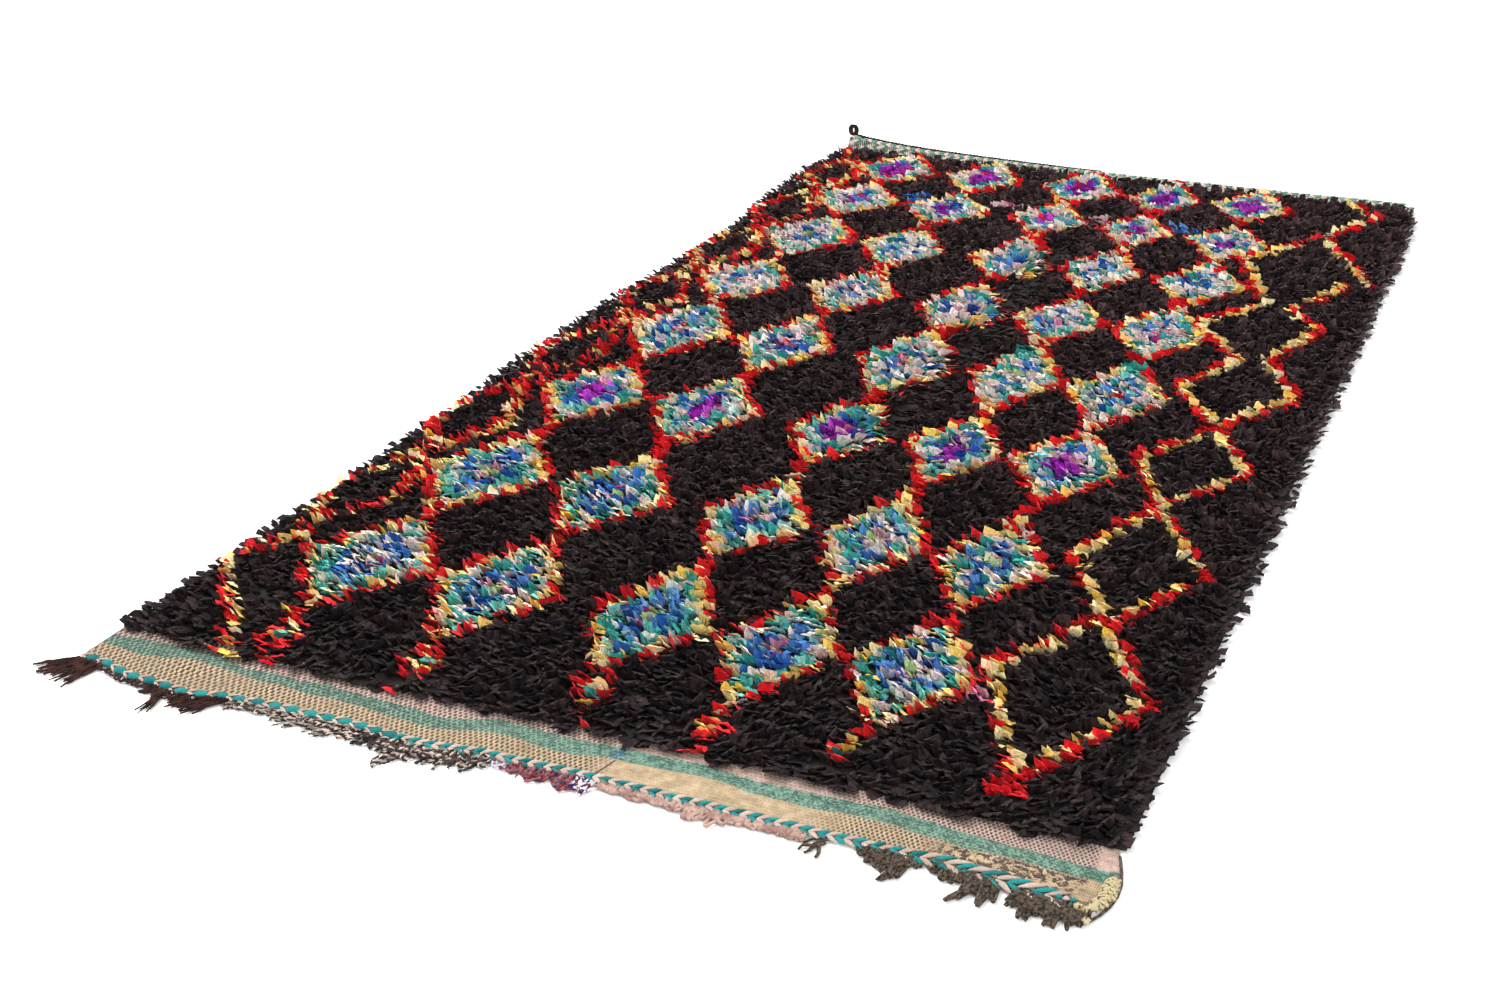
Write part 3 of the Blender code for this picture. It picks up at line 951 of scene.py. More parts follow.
def stripeNumber(x, y, nearEdge):
    if y > 2.0:
        return mix(5.0, 6.0, farShare(y))
    first = along(creamTop, x) + weave["waver"] * noise.noise(Vector((x * 22.0, 1.5, 0.0)))
    second = along(greenTop, x) + weave["waver"] * noise.noise(Vector((x * 26.0, 7.5, 0.0)))
    if y < first:
        return (y - nearEdge) / (first - nearEdge)
    if y < second:
        return 1.0 + (y - first) / (second - first)
    return min(2.0 + (y - second) / 0.034, 4.0)


def weaveMaterial():
    tones = weaveColours
    material, tree, shader = newMaterial("wovenWool", 0.9, 0.15)
    where = objectCoordinates(tree)
    uv = addNode(tree, "ShaderNodeUVMap", uv_map="weave").outputs["UV"]
    u, v = splitNode(uv)[:2]
    slow = noiseNode(where, 14.0, 2.0, 0.5)
    medium = noiseNode(where, 70.0, 3.0, 0.6)
    fine = noiseNode(where, 600.0, 2.0, 0.6)
    fleck = noiseNode(where, 230.0, 2.0, 0.7, 0.6)
    drift = timesPlus(medium, 0.30, -0.20)
    stripe = plus(v, timesPlus(fine, 0.10, drift))
    patchy = rangeNode(medium, 0.35, 0.65)
    cream = mixColour(patchy, tones["cream"], tones["butter"])
    flecks = rangeNode(timesPlus(medium, 0.5, fleck), 0.68, 0.82)
    green = mixColour(flecks, tones["green"], tones["greenLight"])
    pink = mixColour(patchy, tones["pink"], tones["pinkLight"])
    colour = mixColour(rangeNode(stripe, 0.96, 1.06), cream, green)
    colour = mixColour(rangeNode(stripe, 1.96, 2.06), colour, pink)
    # The far band is all chevrons: pale and green stitches that lean both ways.
    farBand = rangeNode(v, 4.4, 4.5)
    lean = mathNode("PINGPONG", times(v, 3.0), 0.5)
    arrows = timesPlus(lean, 0.9, mathNode("DIVIDE", u, 0.024))
    arrows = mathNode("PINGPONG", timesPlus(fleck, 0.5, arrows), 0.5)
    far = mixColour(rangeNode(arrows, 0.19, 0.27), tones["farGreen"], tones["farPale"])
    colour = mixColour(farBand, colour, far)

    # Threads of the ground show between the rows as brown dots, in a checker of rows.
    coarse, finer = weave["rows"]  # both draw closer together towards the right
    rows = times(attributeNode(tree, "fromCord"), timesPlus(u, finer, coarse))
    coarse, finer = weave["threads"]
    threads = times(u, timesPlus(u, finer, coarse))
    waves = [mathNode("COSINE", timesPlus(medium, 2.6, line)) for line in (threads, rows)]
    checker = times(*waves)
    uneven = timesPlus(medium, 0.9, times(fine, 0.4))
    larger = rangeNode(u, 0.0, 0.6, 0.14, 0.0)
    dots = rangeNode(plus(plus(uneven, checker), larger), 0.72, 0.86)
    inCream = fallNode(v, 0.9, 1.0)
    inGreen = times(rangeNode(stripe, 0.95, 1.05), fallNode(stripe, 1.95, 2.05))
    plain = times(rangeNode(u, 0.72, 0.75), fallNode(u, 0.98, 1.06))
    plain = times(plain, rangeNode(stripe, 0.95, 1.0, 1.0, 0.7))
    calm = times(inGreen, rangeNode(u, 0.45, 0.75, 0.05, 0.50))
    for quiet in (plain, rangeNode(u, 1.318, 1.326)):
        calm = mathNode("MAXIMUM", calm, quiet)
    strength = times(minus(1.0, calm), rangeNode(slow, 0.3, 0.7, 0.8, 1.0))
    brown = mixColour(farBand, tones["brown"], tones["farBrown"])
    # By the near right corner the cream yarn is thick and lumpy, with dark gaps.
    lumps = rangeNode(noiseNode(where, 135.0, 2.0, 0.6, 0.4), 0.46, 0.53)
    lumpy = times(rangeNode(u, 1.13, 1.17), inCream)
    dots = timesPlus(lumps, lumpy, times(dots, minus(1.0, lumpy)))
    colour = mixColour(times(dots, strength), colour, brown)
    # A slit in the cream stripe, and a few blue stitches over it.
    drawn = timesPlus(v, -0.010, minus(u, 0.736))
    slit = fallNode(mathNode("ABSOLUTE", drawn), 0.0008, 0.0018)
    colour = mixColour(times(slit, inCream), colour, tones["brown"])
    across = mathNode("ABSOLUTE", minus(u, 0.742))
    stitched = times(fallNode(across, 0.006, 0.010), inGreen)
    stitched = times(stitched, rangeNode(checker, 0.1, 0.4))
    colour = mixColour(stitched, colour, tones["blue"])
    for stain, least, most in ((slow, 0.88, 1.08), (medium, 0.88, 1.10)):
        colour = dimmed(colour, rangeNode(stain, 0.3, 0.7, least, most))
    ribs = timesPlus(mathNode("ABSOLUTE", checker), 0.6, medium)
    finishShader(shader, colour, timesPlus(fleck, 0.6, ribs), 1.0, 0.0022)
    return material


def makeWovenGround():
    bandTop = weave["bandTop"]
    nearRows, middleRows, farRows = weave["nearRows"], weave["middleRows"], weave["farRows"]
    rows = [i / nearRows for i in range(nearRows + 1)]
    rows += [1.0 + i / middleRows for i in range(1, middleRows)]
    rows += [2.0 + i / farRows for i in range(farRows + 1)]
    bm = bmesh.new()
    bmesh.ops.create_grid(bm, x_segments=weave["columns"], y_segments=len(rows) - 1, size=0.5)
    cordLayer = bm.verts.layers.float.new("fromCord")
    places = {}
    for vert in bm.verts:
        row = rows[round((vert.co.y + 0.5) * (len(rows) - 1))]
        x = mix(rug["left"], along(groundRight, mix(-0.020, bandTop, row)), vert.co.x + 0.5)
        nearEdge = along(nearLine, x) + weave["twineHalf"] - 0.003
        if row <= 1.0:
            y = mix(nearEdge, bandTop, row)
        elif row < 2.0:
            y = mix(bandTop, weave["farBandFrom"], row - 1.0)
        else:
            y = mix(weave["farBandFrom"], rug["farEdge"] + 0.003, row - 2.0)
        places[vert.index] = (x, stripeNumber(x, y, nearEdge))
        vert[cordLayer] = y - nearEdge
        rough = weave["rough"] * noise.noise(Vector((x * 120.0, y * 160.0, 0.5)))
        edgeFade = min(1.0, (rug["right"] - x) / 0.01, (x - rug["left"]) / 0.01)
        vert.co = toFrame(x, y, weaveBase(x, y) + max(0.0, rough * edgeFade + 0.0002))
    bm.verts.index_update()
    uvs = bm.loops.layers.uv.new("weave")
    for face in bm.faces:
        for loop in face.loops:
            loop[uvs].uv = places[loop.vert.index]
    ground = newMesh(bm, "wovenGround", 60)
    wall = ground.modifiers.new("Cloth", "SOLIDIFY")
    wall.thickness = weave["thick"]
    wall.offset = 1.0
    wall.use_even_offset = False
    finishPiece(ground, weaveMaterial(), "woven_wool", "ground_weave")
    print("woven ground ready")
    return ground


# Yarn: spun wool, patchy and dull, with a little fuzz.
def yarnMaterial(name, deep, light, streak=90.0, low=0.3, high=0.8):
    material, tree, shader = newMaterial(name, 0.9, 0.06, 0.15)
    where = objectCoordinates(tree)
    fibres = noiseNode(where, 420.0, 3.0, 0.6)
    patchy = noiseNode(where, streak, 2.0, 0.5)
    share = timesPlus(attributeNode(tree, "shade"), 0.4, times(patchy, 0.8))
    colour = mixColour(rangeNode(share, low, high), deep, light)
    colour = dimmed(colour, rangeNode(fibres, 0.3, 0.7, 0.72, 1.12))
    finishShader(shader, colour, fibres, 0.9, 0.0012)
    return material


# Twined cords: two yarns cross over again and again, so their stitches lie in chevrons.
twine = {
    "start": -0.006,
    "end": 1.296,
    "stitchLength": 0.0215,
    "stitchWidth": 0.0080,
    "stitchHeight": 0.0066,
    "open": 31.0,
    "raised": 0.0006,
    "leafAhead": 0.0046,
    "leafLong": 1.20,
    "leafBroad": 1.85,
    "chevronBack": 0.0034,
    "chevronOpen": 30.0,
    "chevronLong": 0.95,
    "chevronBroad": 0.66,
    "chevronRaised": 0.0018,
    "farY": 2.830,
    "farPitch": 0.025,
    "seed": 3,
}
stitchPitch = (  # one pair of stitches, growing coarser towards both corners
    (0.000, 0.027), (0.340, 0.0255), (0.450, 0.021), (1.080, 0.021), (1.170, 0.029),
    (1.300, 0.029),
)
stitchSize = ((0.0, 0.95), (0.40, 0.92), (0.50, 0.86), (1.10, 0.90), (1.17, 1.50), (1.30, 1.45))
stitchPlump = ((0.0, 1.0), (1.10, 1.0), (1.17, 0.78), (1.30, 0.78))
endKnots = ((0, 1.301), (1, 1.309), (0, 1.317))  # yarn, x
leafEnd = 0.46  # up to here one yarn shows as leaves, between thin chevrons of the other
twineYarns = (
    # piece, deep colour, light colour, node that it replaces
    ("nearTwineTeal", (0.003, 0.090, 0.095), (0.012, 0.215, 0.210), "near_twine"),
    ("nearTwinePale", (0.33, 0.240, 0.195), (0.50, 0.395, 0.335)),
    ("farTwineGreen", (0.055, 0.17, 0.14), (0.165, 0.31, 0.25), "far_twine"),
    ("farTwinePale", (0.48, 0.38, 0.30), (0.63, 0.52, 0.42)),
)


# One stitch lies along X: plump in the middle, drawn in and bent down at both ends.
def makeStitch(number, chance):
    bm = bmesh.new()
    bmesh.ops.create_uvsphere(bm, u_segments=9, v_segments=8, radius=1.0)
    onSide = Euler((0.0, math.radians(90.0), 0.0)).to_matrix()
    bmesh.ops.rotate(bm, verts=bm.verts, cent=(0, 0, 0), matrix=onSide)
    bow = chance.uniform(-0.25, 0.25)
    sizes = [0.5 * twine[key] for key in ("stitchLength", "stitchWidth", "stitchHeight")]
    for vert in bm.verts:
        x, y, z = vert.co
        fold = 1.0 + 0.10 * math.sin(3.0 * math.atan2(z, y) + 5.0 * x)  # plies of the yarn
        pointed = 1.0 - 0.42 * abs(x) ** 1.5
        bent = (x, y * fold * pointed + bow * (1.0 - x * x), z * fold - 0.7 * x * x)
        vert.co = Vector(sizes) * Vector(bent)
    bmesh.ops.recalc_face_normals(bm, faces=bm.faces)
    return hiddenKind(newMesh(bm, f"stitch{number}", 80))


def makeStitches():
    kinds = bpy.data.collections.new("stitches")
    chance = random.Random(twine["seed"])
    for number in range(4):
        kinds.objects.link(makeStitch(number, chance))
    return scatterTree(kinds)


# Lays stitches in turn of two colours along a line. Each stitch is two arms that open to +X,
# and where the first yarn shows as leaves, it is one broad stitch between thin chevrons.
def twineSpots(start, end, leaves, pitchAt, line, base, chance):
    yarns = ([], [])

    def lay(yarn, x, side, opening, size, broad, over=twine["raised"]):
        length = twine["stitchLength"] * size
        turn = math.radians(opening + chance.uniform(-6.0, 6.0)) * side
        slope = (line(x + 0.01) - line(x)) / 0.01
        middleX = x + 0.5 * length * math.cos(turn)
        middleY = line(middleX) + side * 0.5 * length * math.sin(abs(turn)) * 0.92
        thick = along(stitchPlump, x) * min(size, 1.0 + 0.5 * (size - 1.0))
        height = base(middleX) + 0.5 * twine["stitchHeight"] * thick + over
        plump = chance.uniform(0.9, 1.12) * thick
        place = tuple(toFrame(middleX, middleY, height))
        turns = (0.0, chance.uniform(-0.10, 0.04), turn + math.atan(slope))
        sizes = (size, plump * broad, plump * min(broad, 1.15))
        yarns[yarn].append((place, turns, sizes, chance.randrange(4), chance.random()))

    x = start
    count = 0
    while x < end:
        size = along(stitchSize, x)
        if x < leaves:
            lay(0, x + twine["leafAhead"], 0, 0.0, twine["leafLong"] * size, twine["leafBroad"])
            opening, long = twine["chevronOpen"], twine["chevronLong"] * size
            for side in (-1, 1):
                back = x - twine["chevronBack"]
                lay(1, back, side, opening, long, twine["chevronBroad"], twine["chevronRaised"])
            x += pitchAt(x)
            continue
        for side in (-1, 1):
            lay(count % 2, x, side, twine["open"], size, 1.0)
        x += 0.5 * pitchAt(x)
        count += 1
    return yarns


def makeTwines():
    chance = random.Random(twine["seed"] + 5)
    tree = makeStitches()
    pieces = []
    near = twineSpots(
        twine["start"],
        twine["end"],
        leafEnd,
        lambda x: along(stitchPitch, x),
        lambda x: along(nearLine, x),
        lambda x: swell(x, along(nearLine, x)),
        chance,
    )
    for yarn, x in endKnots:  # small knots finish the cord by the corner
        y = along(nearLine, x) + 0.002
        place = tuple(toFrame(x, y, swell(x, y) + 0.0042))
        near[yarn].append((place, (0.0, 0.0, 0.3), (0.42, 0.95, 0.95), 0, 0.6))
    far = twineSpots(
        rug["left"] + 0.002,
        rug["right"] - 0.05,
        0.0,
        lambda x: twine["farPitch"],
        lambda x: twine["farY"],
        farLift,
        chance,
    )
    for (name, deep, light, *replaced), spots in zip(twineYarns, near + far):
        obj = joinCopies(name, spots, tree)
        layOnFloor(obj)
        obj.data.shade_smooth()
        material = yarnMaterial(name + "Yarn", deep, light)
        pieces.append(finishPiece(obj, material, "twined_cord", *replaced))
    print("twined cords ready")
    return pieces


# Turns routes into one mesh of round yarns. A route is (points, thickness, taper).
def makeYarns(name, routes, sides=0):
    curve = bpy.data.curves.new(name, "CURVE")
    curve.dimensions = "3D"
    curve.bevel_depth = 1.0
    curve.bevel_resolution = sides
    curve.use_fill_caps = True
    for points, thickness, taper in routes:
        spline = curve.splines.new("POLY")
        spline.points.add(len(points) - 1)
        for number, (point, place) in enumerate(zip(spline.points, points)):
            share = number / (len(points) - 1)
            point.co = (*place, 1.0)
            point.radius = 0.5 * thickness * mix(1.0, taper, share)
    obj = newObject(name + "Curve", curve)
    graph = bpy.context.evaluated_depsgraph_get()
    mesh = bpy.data.meshes.new_from_object(obj.evaluated_get(graph))
    bpy.data.objects.remove(obj, do_unlink=True)
    bm = bmesh.new()
    bm.from_mesh(mesh)
    bpy.data.meshes.remove(mesh)
    bmesh.ops.remove_doubles(bm, verts=bm.verts, dist=0.00001)
    bmesh.ops.recalc_face_normals(bm, faces=bm.faces)
    for vert in bm.verts:
        vert.co.z = max(vert.co.z, 0.0)
    return newMesh(bm, name, 110)


# Fringe: the ends of the warp, in strands, loops and felted lumps, each clump of its own yarn.
fringe = {
    "seed": 41,
    "step": 0.008,
    "drop": 0.014,
    "hop": 0.0016,
    "offFloor": 0.0003,
    "loopPoints": 8,
    "loopDrop": 0.008,
    "loopHop": 0.0012,
    "selvedgeHeight": 0.0024,
    "selvedgeThick": 0.0042,
}
fringeClumps = {
    # from x, to x, locks, length, lean at from, lean at to, spread
    "fringeBrown": (
        (-0.006, 0.036, 6, 0.068, -46, -8, 4), (0.150, 0.154, 1, 0.048, 4, 4, 1),
        (0.130, 0.190, 3, 0.026, -56, -46, 4), (0.210, 0.238, 3, 0.052, -54, -40, 5),
    ),
    "fringeMottled": (
        (0.250, 0.330, 5, 0.026, -48, -36, 10), (0.330, 0.352, 2, 0.044, -46, -38, 6),
        (0.366, 0.412, 3, 0.050, -46, -34, 6), (0.420, 0.450, 2, 0.040, -44, -20, 12),
    ),
    "fringeCurls": (
        (0.440, 0.490, 4, 0.034, -24, -6, 22), (0.488, 0.508, 2, 0.060, -30, -20, 8),
        (0.530, 0.560, 3, 0.050, -40, -20, 8), (0.592, 0.612, 2, 0.056, -40, -30, 5),
    ),
    "fringeMulti": (
        (0.645, 0.700, 4, 0.022, -14, 0, 20),
    ),
    "fringePink": (
        (0.980, 1.006, 3, 0.018, -4, 4, 24),
    ),
    "fringeDrab": (
        (1.030, 1.038, 1, 0.046, 4, 4, 3), (1.080, 1.110, 3, 0.016, -8, 6, 30),
        (1.110, 1.136, 4, 0.026, -6, 4, 22), (1.160, 1.205, 3, 0.018, -4, 8, 30),
        (1.212, 1.232, 4, 0.030, -4, 4, 18), (1.262, 1.322, 8, 0.030, -8, -2, 22),
    ),
}
fringeLoops = {
    # from x, to x, loops, depth, thickness
    "fringeBrown": (
        (0.036, 0.200, 16, 0.008, 0.0038), (0.110, 0.190, 4, 0.013, 0.0032),
    ),
    "fringeMottled": (
        (0.250, 0.440, 18, 0.013, 0.0040),
    ),
    "fringeCurls": (
        (0.440, 0.612, 20, 0.016, 0.0048), (0.440, 0.600, 12, 0.028, 0.0046),
    ),
    "fringeMulti": (
        (0.618, 0.735, 12, 0.015, 0.0046), (0.660, 0.735, 8, 0.024, 0.0040),
        (0.722, 0.750, 5, 0.030, 0.0052),
    ),
    "fringePink": (
        (0.754, 1.010, 30, 0.009, 0.0070), (0.760, 1.000, 30, 0.012, 0.0056),
        (0.868, 0.915, 6, 0.024, 0.0056),
    ),
    "fringeDrab": (
        (1.074, 1.138, 10, 0.014, 0.0056), (1.090, 1.138, 8, 0.026, 0.0052),
        (1.112, 1.138, 6, 0.042, 0.0050), (1.158, 1.234, 12, 0.013, 0.0056),
        (1.176, 1.234, 8, 0.024, 0.0052), (1.210, 1.234, 6, 0.046, 0.0050),
        (1.258, 1.338, 16, 0.016, 0.0058), (1.260, 1.338, 18, 0.028, 0.0054),
        (1.266, 1.334, 18, 0.038, 0.0052),
    ),
}
fringeYarns = {
    # thickness, curl, yarns in a lock, share of the thickness that is left at the tip
    "fringeBrown": (0.0042, 0.40, 11, 0.6),
    "fringeMottled": (0.0044, 0.9, 4, 0.75),
    "fringeCurls": (0.0052, 1.5, 3, 0.75),
    "fringeMulti": (0.0034, 1.0, 5, 0.75),
    "fringePink": (0.0060, 0.9, 4, 0.75),
    "fringeDrab": (0.0046, 3.0, 5, 1.0),
}
fringeWools = {
    # node, slot, patch scale, deep colour, light colour
    "fringeBrown": ("fringe_brown", "brown_yarn", 60.0, (0.012, 0.0035, 0.003), (0.048, 0.016, 0.011)),
    "fringeMottled": ("fringe_mottled", "mottled_yarn", 120.0, (0.20, 0.155, 0.125), (0.60, 0.50, 0.42)),
    "fringeDark": ("fringe_mottled", "mottled_yarn", 90.0, (0.010, 0.006, 0.006), (0.060, 0.040, 0.034)),
    "fringeMulti": ("fringe_multi", "mixed_yarn", 160.0, (0.022, 0.010, 0.016), (0.30, 0.040, 0.055)),
    "fringePink": ("fringe_pink", "pink_yarn", 60.0, (0.29, 0.170, 0.142), (0.47, 0.315, 0.265)),
    "fringeDrab": ("fringe_drab", "drab_yarn", 260.0, (0.012, 0.008, 0.006), (0.105, 0.076, 0.052)),
}
strayColours = ((0.012, 0.015, 0.12), (0.62, 0.58, 0.60))

# Yarns of two plies, of which some have both plies dark.
marled = {
    "step": 0.0028,
    "twist": 0.012,
    "sway": 0.30,
    "rise": 0.24,
    "floor": 0.36,
    "plyThick": 0.66,
    "blackShare": 0.4,
}

# The selvedge yarn runs down the right edge and out into the fringe.
rightSelvedge = (
    (1.342, 0.092), (1.3505, 0.064), (1.3560, 0.040), (1.3570, 0.018), (1.3545, -0.002),
    (1.349, -0.020), (1.341, -0.036), (1.331, -0.047),
)


# A yarn leaves the cord, drops to the floor and wanders to its end.
def yarnRoute(x, y, z, lean, length, curl, thickness, gather, chance):
    steps = max(4, round(length / fringe["step"]))
    heading = math.radians(lean)
    points = [toFrame(x, y, z)]
    bend = 0.0
    for step in range(steps):
        share = (step + 1) / steps
        bend = 0.6 * bend + chance.gauss(0.0, 0.28) * curl
        reach = length / steps
        x += math.sin(heading + bend) * reach + gather / steps
        y -= math.cos(heading + bend) * reach
        floor = 0.5 * thickness * mix(1.0, 0.6, share) + fringe["offFloor"]
        lift = mix(z, floor, ease(share * length / fringe["drop"]))
        hop = abs(chance.gauss(0.0, fringe["hop"])) * (1.0 - share * 0.5)
        points.append(toFrame(x, y, max(lift + hop, floor)))
    return points


# Twists a route into its two plies, of which the second is the dark one.
def plyRoutes(points, thickness):
    fine = []
    for first, last in zip(points, points[1:]):
        pieces = max(1, round((last - first).length / marled["step"]))
        fine += [first.lerp(last, step / pieces) for step in range(pieces)]
    fine.append(points[-1])
    plies = ([], [])
    travelled = 0.0
    for number, point in enumerate(fine):
        ahead = fine[min(number + 1, len(fine) - 1)] - fine[max(number - 1, 0)]
        side = Vector((-ahead.y, ahead.x, 0.0)).normalized()
        if number:
            travelled += (point - fine[number - 1]).length
        turn = 2.0 * math.pi * travelled / marled["twist"]
        sway = side * (marled["sway"] * thickness * math.cos(turn))
        rise = marled["rise"] * thickness * math.sin(turn)
        floor = marled["floor"] * thickness
        for ply, sign in zip(plies, (1.0, -1.0)):
            place = point + sign * sway
            place.z = max(point.z + sign * rise, floor)
            ply.append(place)
    return plies


# A loop goes out from the cord and comes back beside itself.
def loopRoute(x, y, z, width, depth, thickness, chance):
    points = []
    tilt = chance.uniform(-0.5, 0.3)
    floor = 0.5 * thickness + fringe["offFloor"]
    for step in range(fringe["loopPoints"]):
        turn = math.pi * step / (fringe["loopPoints"] - 1)
        out = math.sin(turn)
        wander = chance.uniform(-0.12, 0.12) * width
        px = x - 0.5 * width * math.cos(turn) + tilt * depth * out + wander
        py = y - depth * out**0.8 + chance.uniform(-0.0010, 0.0010)
        lift = mix(z, floor, ease(out * depth / fringe["loopDrop"]))
        lift += abs(chance.gauss(0.0, fringe["loopHop"]))
        points.append(toFrame(px, py, max(lift, floor)))
    return points


# Mixes stray colours into a yarn, in short lengths.
def addStrays(material, colours):
    tree = material.node_tree
    base = tree.nodes["Principled BSDF"].inputs["Base Color"]
    where = objectCoordinates(tree)
    x = splitNode(where)[0]
    bunches = (rangeNode(x, 0.050, 0.056), rangeNode(x, -0.04, -0.03, 0.8, 0.1))
    thick = mathNode("MAXIMUM", *bunches)
    for number, colour in enumerate(colours):
        inputs = {0: where, 1: (3.0 * number + 1.0, 0.0, 0.0)}
        moved = addNode(tree, "ShaderNodeVectorMath", inputs, operation="ADD").outputs[0]
        part = rangeNode(noiseNode(moved, 150.0, 1.0, 0.5), 0.48, 0.54)
        mixed = mixColour(times(part, thick), base.links[0].from_socket, colour)
        feed(base, mixed)


def rowsOf(table):
    return [(name, row) for name, rows in table.items() for row in rows]


def clumpRoutes(routes, chance):
    for name, (fromX, toX, locks, length, leanFrom, leanTo, spread) in rowsOf(fringeClumps):
        thickness, curl, yarns, taper = fringeYarns[name]
        for lock in range(locks):
            share = (lock + 0.5) / locks
            lockLean = mix(leanFrom, leanTo, share) + chance.uniform(-5.0, 5.0)
            lockLength = length * chance.uniform(0.75, 1.1)
            for _ in range(yarns):
                aside = chance.gauss(0.0, 0.35) * (toX - fromX) / locks
                x = mix(fromX, toX, share) + aside
                y = along(nearLine, x) - 0.006 + chance.uniform(-0.001, 0.001)
                z = swell(x, y) + chance.uniform(0.0020, 0.0056)
                size = thickness * chance.uniform(0.65, 1.2)
                reach = lockLength * chance.uniform(0.6, 1.1)
                lean = lockLean + chance.gauss(0.0, spread)
                route = yarnRoute(x, y, z, lean, reach, curl, size, -0.85 * aside, chance)
                routes[name].append((route, size, taper))


def loopRoutes(routes, chance):
    for name, (fromX, toX, loops, depth, thickness) in rowsOf(fringeLoops):
        for loop in range(loops):
            x = mix(fromX, toX, (loop + 0.5) / loops) + chance.uniform(-0.003, 0.003)
            y = along(nearLine, x) - 0.005 - 0.4 * thickness
            z = swell(x, y) + 0.0030
            size = thickness * chance.uniform(0.8, 1.2)
            width = (toX - fromX) / loops * chance.uniform(0.9, 1.7)
            route = loopRoute(x, y, z, width, depth * chance.uniform(0.6, 1.2), size, chance)
            routes[name].append((route, size, 0.9))


def makeFringe():
    chance = random.Random(fringe["seed"])
    routes = {name: [] for name in (*fringeYarns, "fringeDark")}
    clumpRoutes(routes, chance)
    loopRoutes(routes, chance)
    for name in ("fringeMottled", "fringeCurls"):
        whole, routes[name] = routes[name], []
        for points, thickness, taper in whole:
            pale, dark = plyRoutes(points, thickness)
            black = name == "fringeCurls" and chance.random() < marled["blackShare"]
            ply = marled["plyThick"] * thickness
            routes["fringeDark" if black else name].append((pale, ply, taper))
            routes["fringeDark"].append((dark, ply, taper))
    routes["fringeMottled"] += routes["fringeCurls"]
    selvedge = [toFrame(x, y, fringe["selvedgeHeight"]) for x, y in rightSelvedge]
    routes["fringeDrab"].append((selvedge, fringe["selvedgeThick"], 1.0))
    pieces = []
    for name, (node, slot, streak, deep, light) in fringeWools.items():
        obj = makeYarns(name, routes[name])
        material = yarnMaterial(name + "Yarn", deep, light, streak, 0.30, 0.50)
        if name == "fringeMulti":
            addStrays(material, strayColours)
        pieces.append(finishPiece(obj, material, slot, node))
        print(name, len(routes[name]), len(obj.data.polygons))
    return pieces


# The far edge's dark cord: two yarns twisted along the edge, ending in a standing loop.
farCord = {
    "end": 0.62,
    "start": -0.004,
    "y": 2.8405,
    "thick": 0.0056,
    "turns": 34,
    "loop": 0.026,
    "steps": 150,
    "deep": (0.008, 0.004, 0.003),
    "light": (0.030, 0.014, 0.011),
}


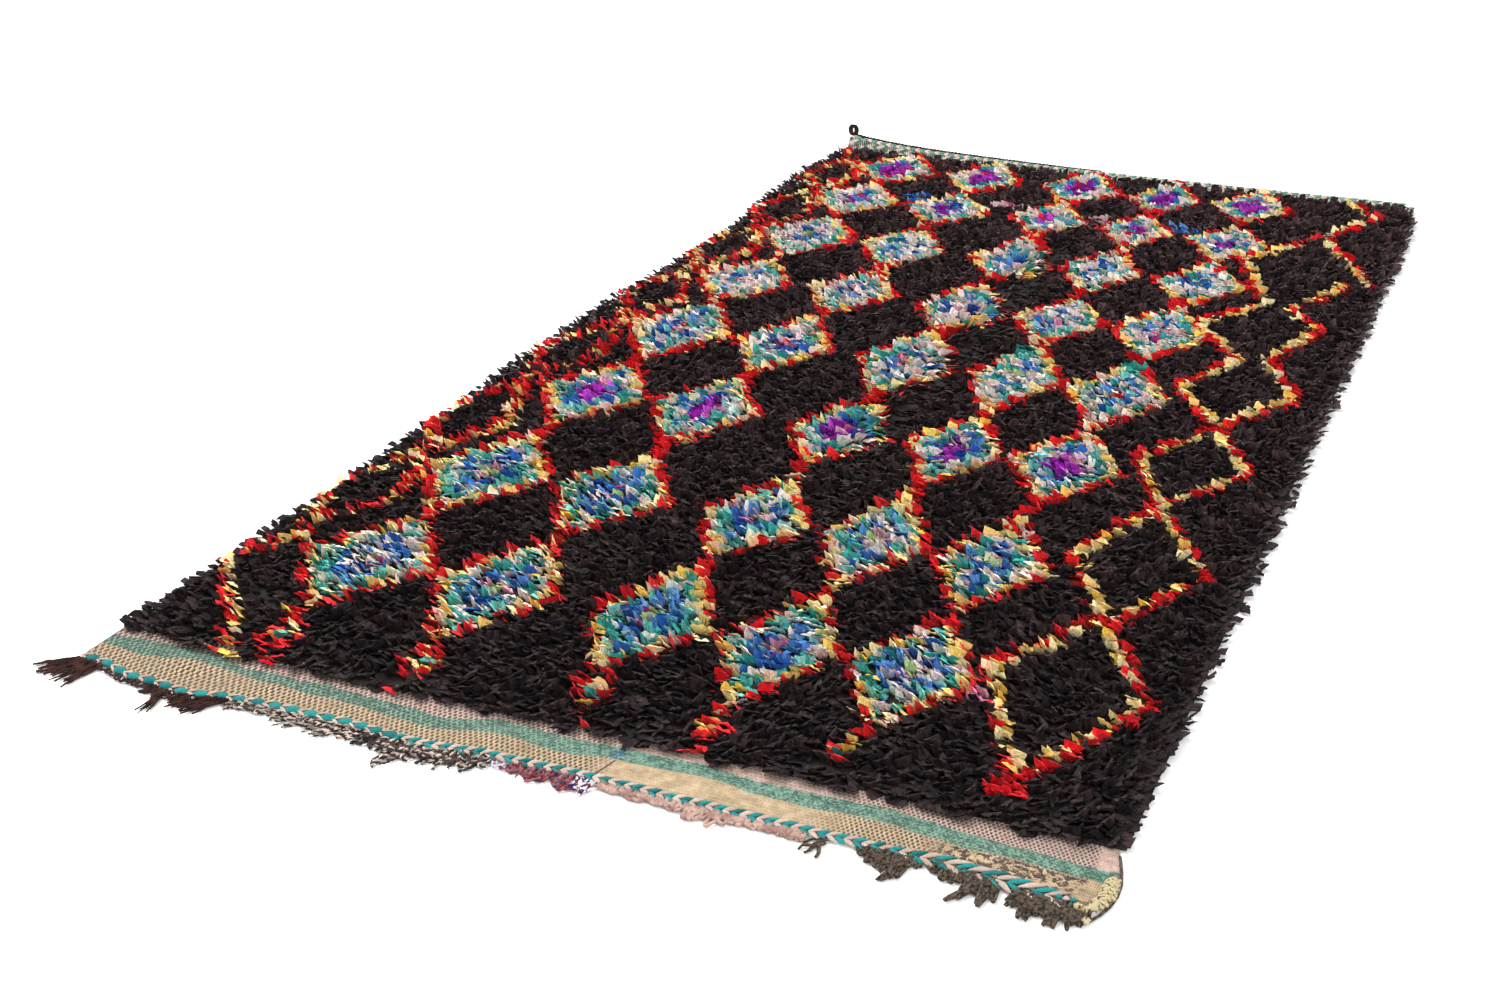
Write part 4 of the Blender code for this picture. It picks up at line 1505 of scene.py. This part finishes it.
def makeFarCord():
    routes = []
    start, edge, thickness, high = (farCord[key] for key in ("start", "y", "thick", "loop"))
    for ply in (0.0, math.pi):
        points = []
        for step in range(farCord["steps"] + 1):
            share = step / farCord["steps"]
            x = mix(farCord["end"], start, share)
            thin = mix(0.5, 1.0, ease(share / 0.5))
            turn = ply + 2.0 * math.pi * farCord["turns"] * share
            radius = 0.42 * thickness * thin
            z = farLift(x) + 0.0040 + 0.0016 * thin + radius * math.sin(turn)
            points.append(toFrame(x, edge + radius * math.cos(turn), z))
        routes.append((points[::-1], thickness, 0.5))
        foot = farLift(start) + 0.004
        loop = [toFrame(start + 0.006, edge, foot - 0.001)]
        for step in range(12):  # up, over and down again, drawn together at its foot
            turn = math.radians(mix(-150.0, 150.0, step / 11))
            out = 0.30 * high * math.sin(turn)
            up = high * (0.56 + 0.44 * math.cos(turn))
            side = 0.0030 * math.cos(ply)
            loop.append(toFrame(start - 0.004 + out + side, edge, foot + up))
        loop.append(toFrame(start + 0.002, edge, foot - 0.001))
        routes.append((loop, 1.15 * thickness, 0.95))
    obj = makeYarns("farCordYarn", routes)
    material = yarnMaterial("farCordWool", farCord["deep"], farCord["light"], 120.0, 0.3, 0.5)
    print("far cord ready")
    return finishPiece(obj, material, "brown_yarn", "far_cord")


# Cream yarn wound over the near right corner in close, uneven turns, with two knots beside it.
cornerWrap = {
    "seed": 77,
    "turns": 10,
    "thick": 0.0066,
    "half": 0.0092,
    "near": -0.022,
    "far": 0.036,
    "knots": ((1.326, -0.022, 0.007, 0.0100), (1.339, -0.042, 0.005, 0.0080)),
    "deep": (0.05, 0.033, 0.017),
    "light": (0.47, 0.39, 0.225),
}
wrapLine = (
    (-0.024, 1.338), (-0.008, 1.3445), (0.008, 1.3475), (0.024, 1.3480), (0.038, 1.3475),
)


def makeCornerWrap():
    chance = random.Random(cornerWrap["seed"])
    routes = []
    for turn in range(cornerWrap["turns"]):
        share = turn / (cornerWrap["turns"] - 1)
        y = mix(cornerWrap["near"], cornerWrap["far"], share)
        half = cornerWrap["half"] * (0.62 + 0.38 * math.sin(math.pi * share))
        thick = cornerWrap["thick"] * chance.uniform(0.85, 1.2)
        points = []
        for step in range(7):
            across = 2.0 * step / 6 - 1.0
            arch = math.sqrt(1.0 - 0.92 * across * across)
            top = 0.5 * thick + mix(0.0006, 0.0064, arch)
            bow = 0.0045 * across + chance.uniform(-0.0008, 0.0008)
            points.append(toFrame(along(wrapLine, y) + half * across, y + bow, top))
        routes.append((points, thick, chance.uniform(0.9, 1.1)))
    for x, y, width, thick in cornerWrap["knots"]:
        points = [
            toFrame(x + width * (number - 1.5) / 3, y, 0.0056 + 0.0014 * (number in (1, 2)))
            for number in range(4)
        ]
        routes.append((points, thick, 1.0))
    obj = makeYarns("cornerWrapYarn", routes, 2)
    material = yarnMaterial(
        "cornerWrapWool", cornerWrap["deep"], cornerWrap["light"], 240.0, 0.30, 0.40
    )
    finishPiece(obj, material, "cream_yarn", "corner_wrap")
    print("corner wrap ready")
    return obj


clearScene()
makeStudio()
pilePieces = makePile()
ground = makeWovenGround()
trim = makeTwines() + makeFringe() + [makeFarCord(), makeCornerWrap()]
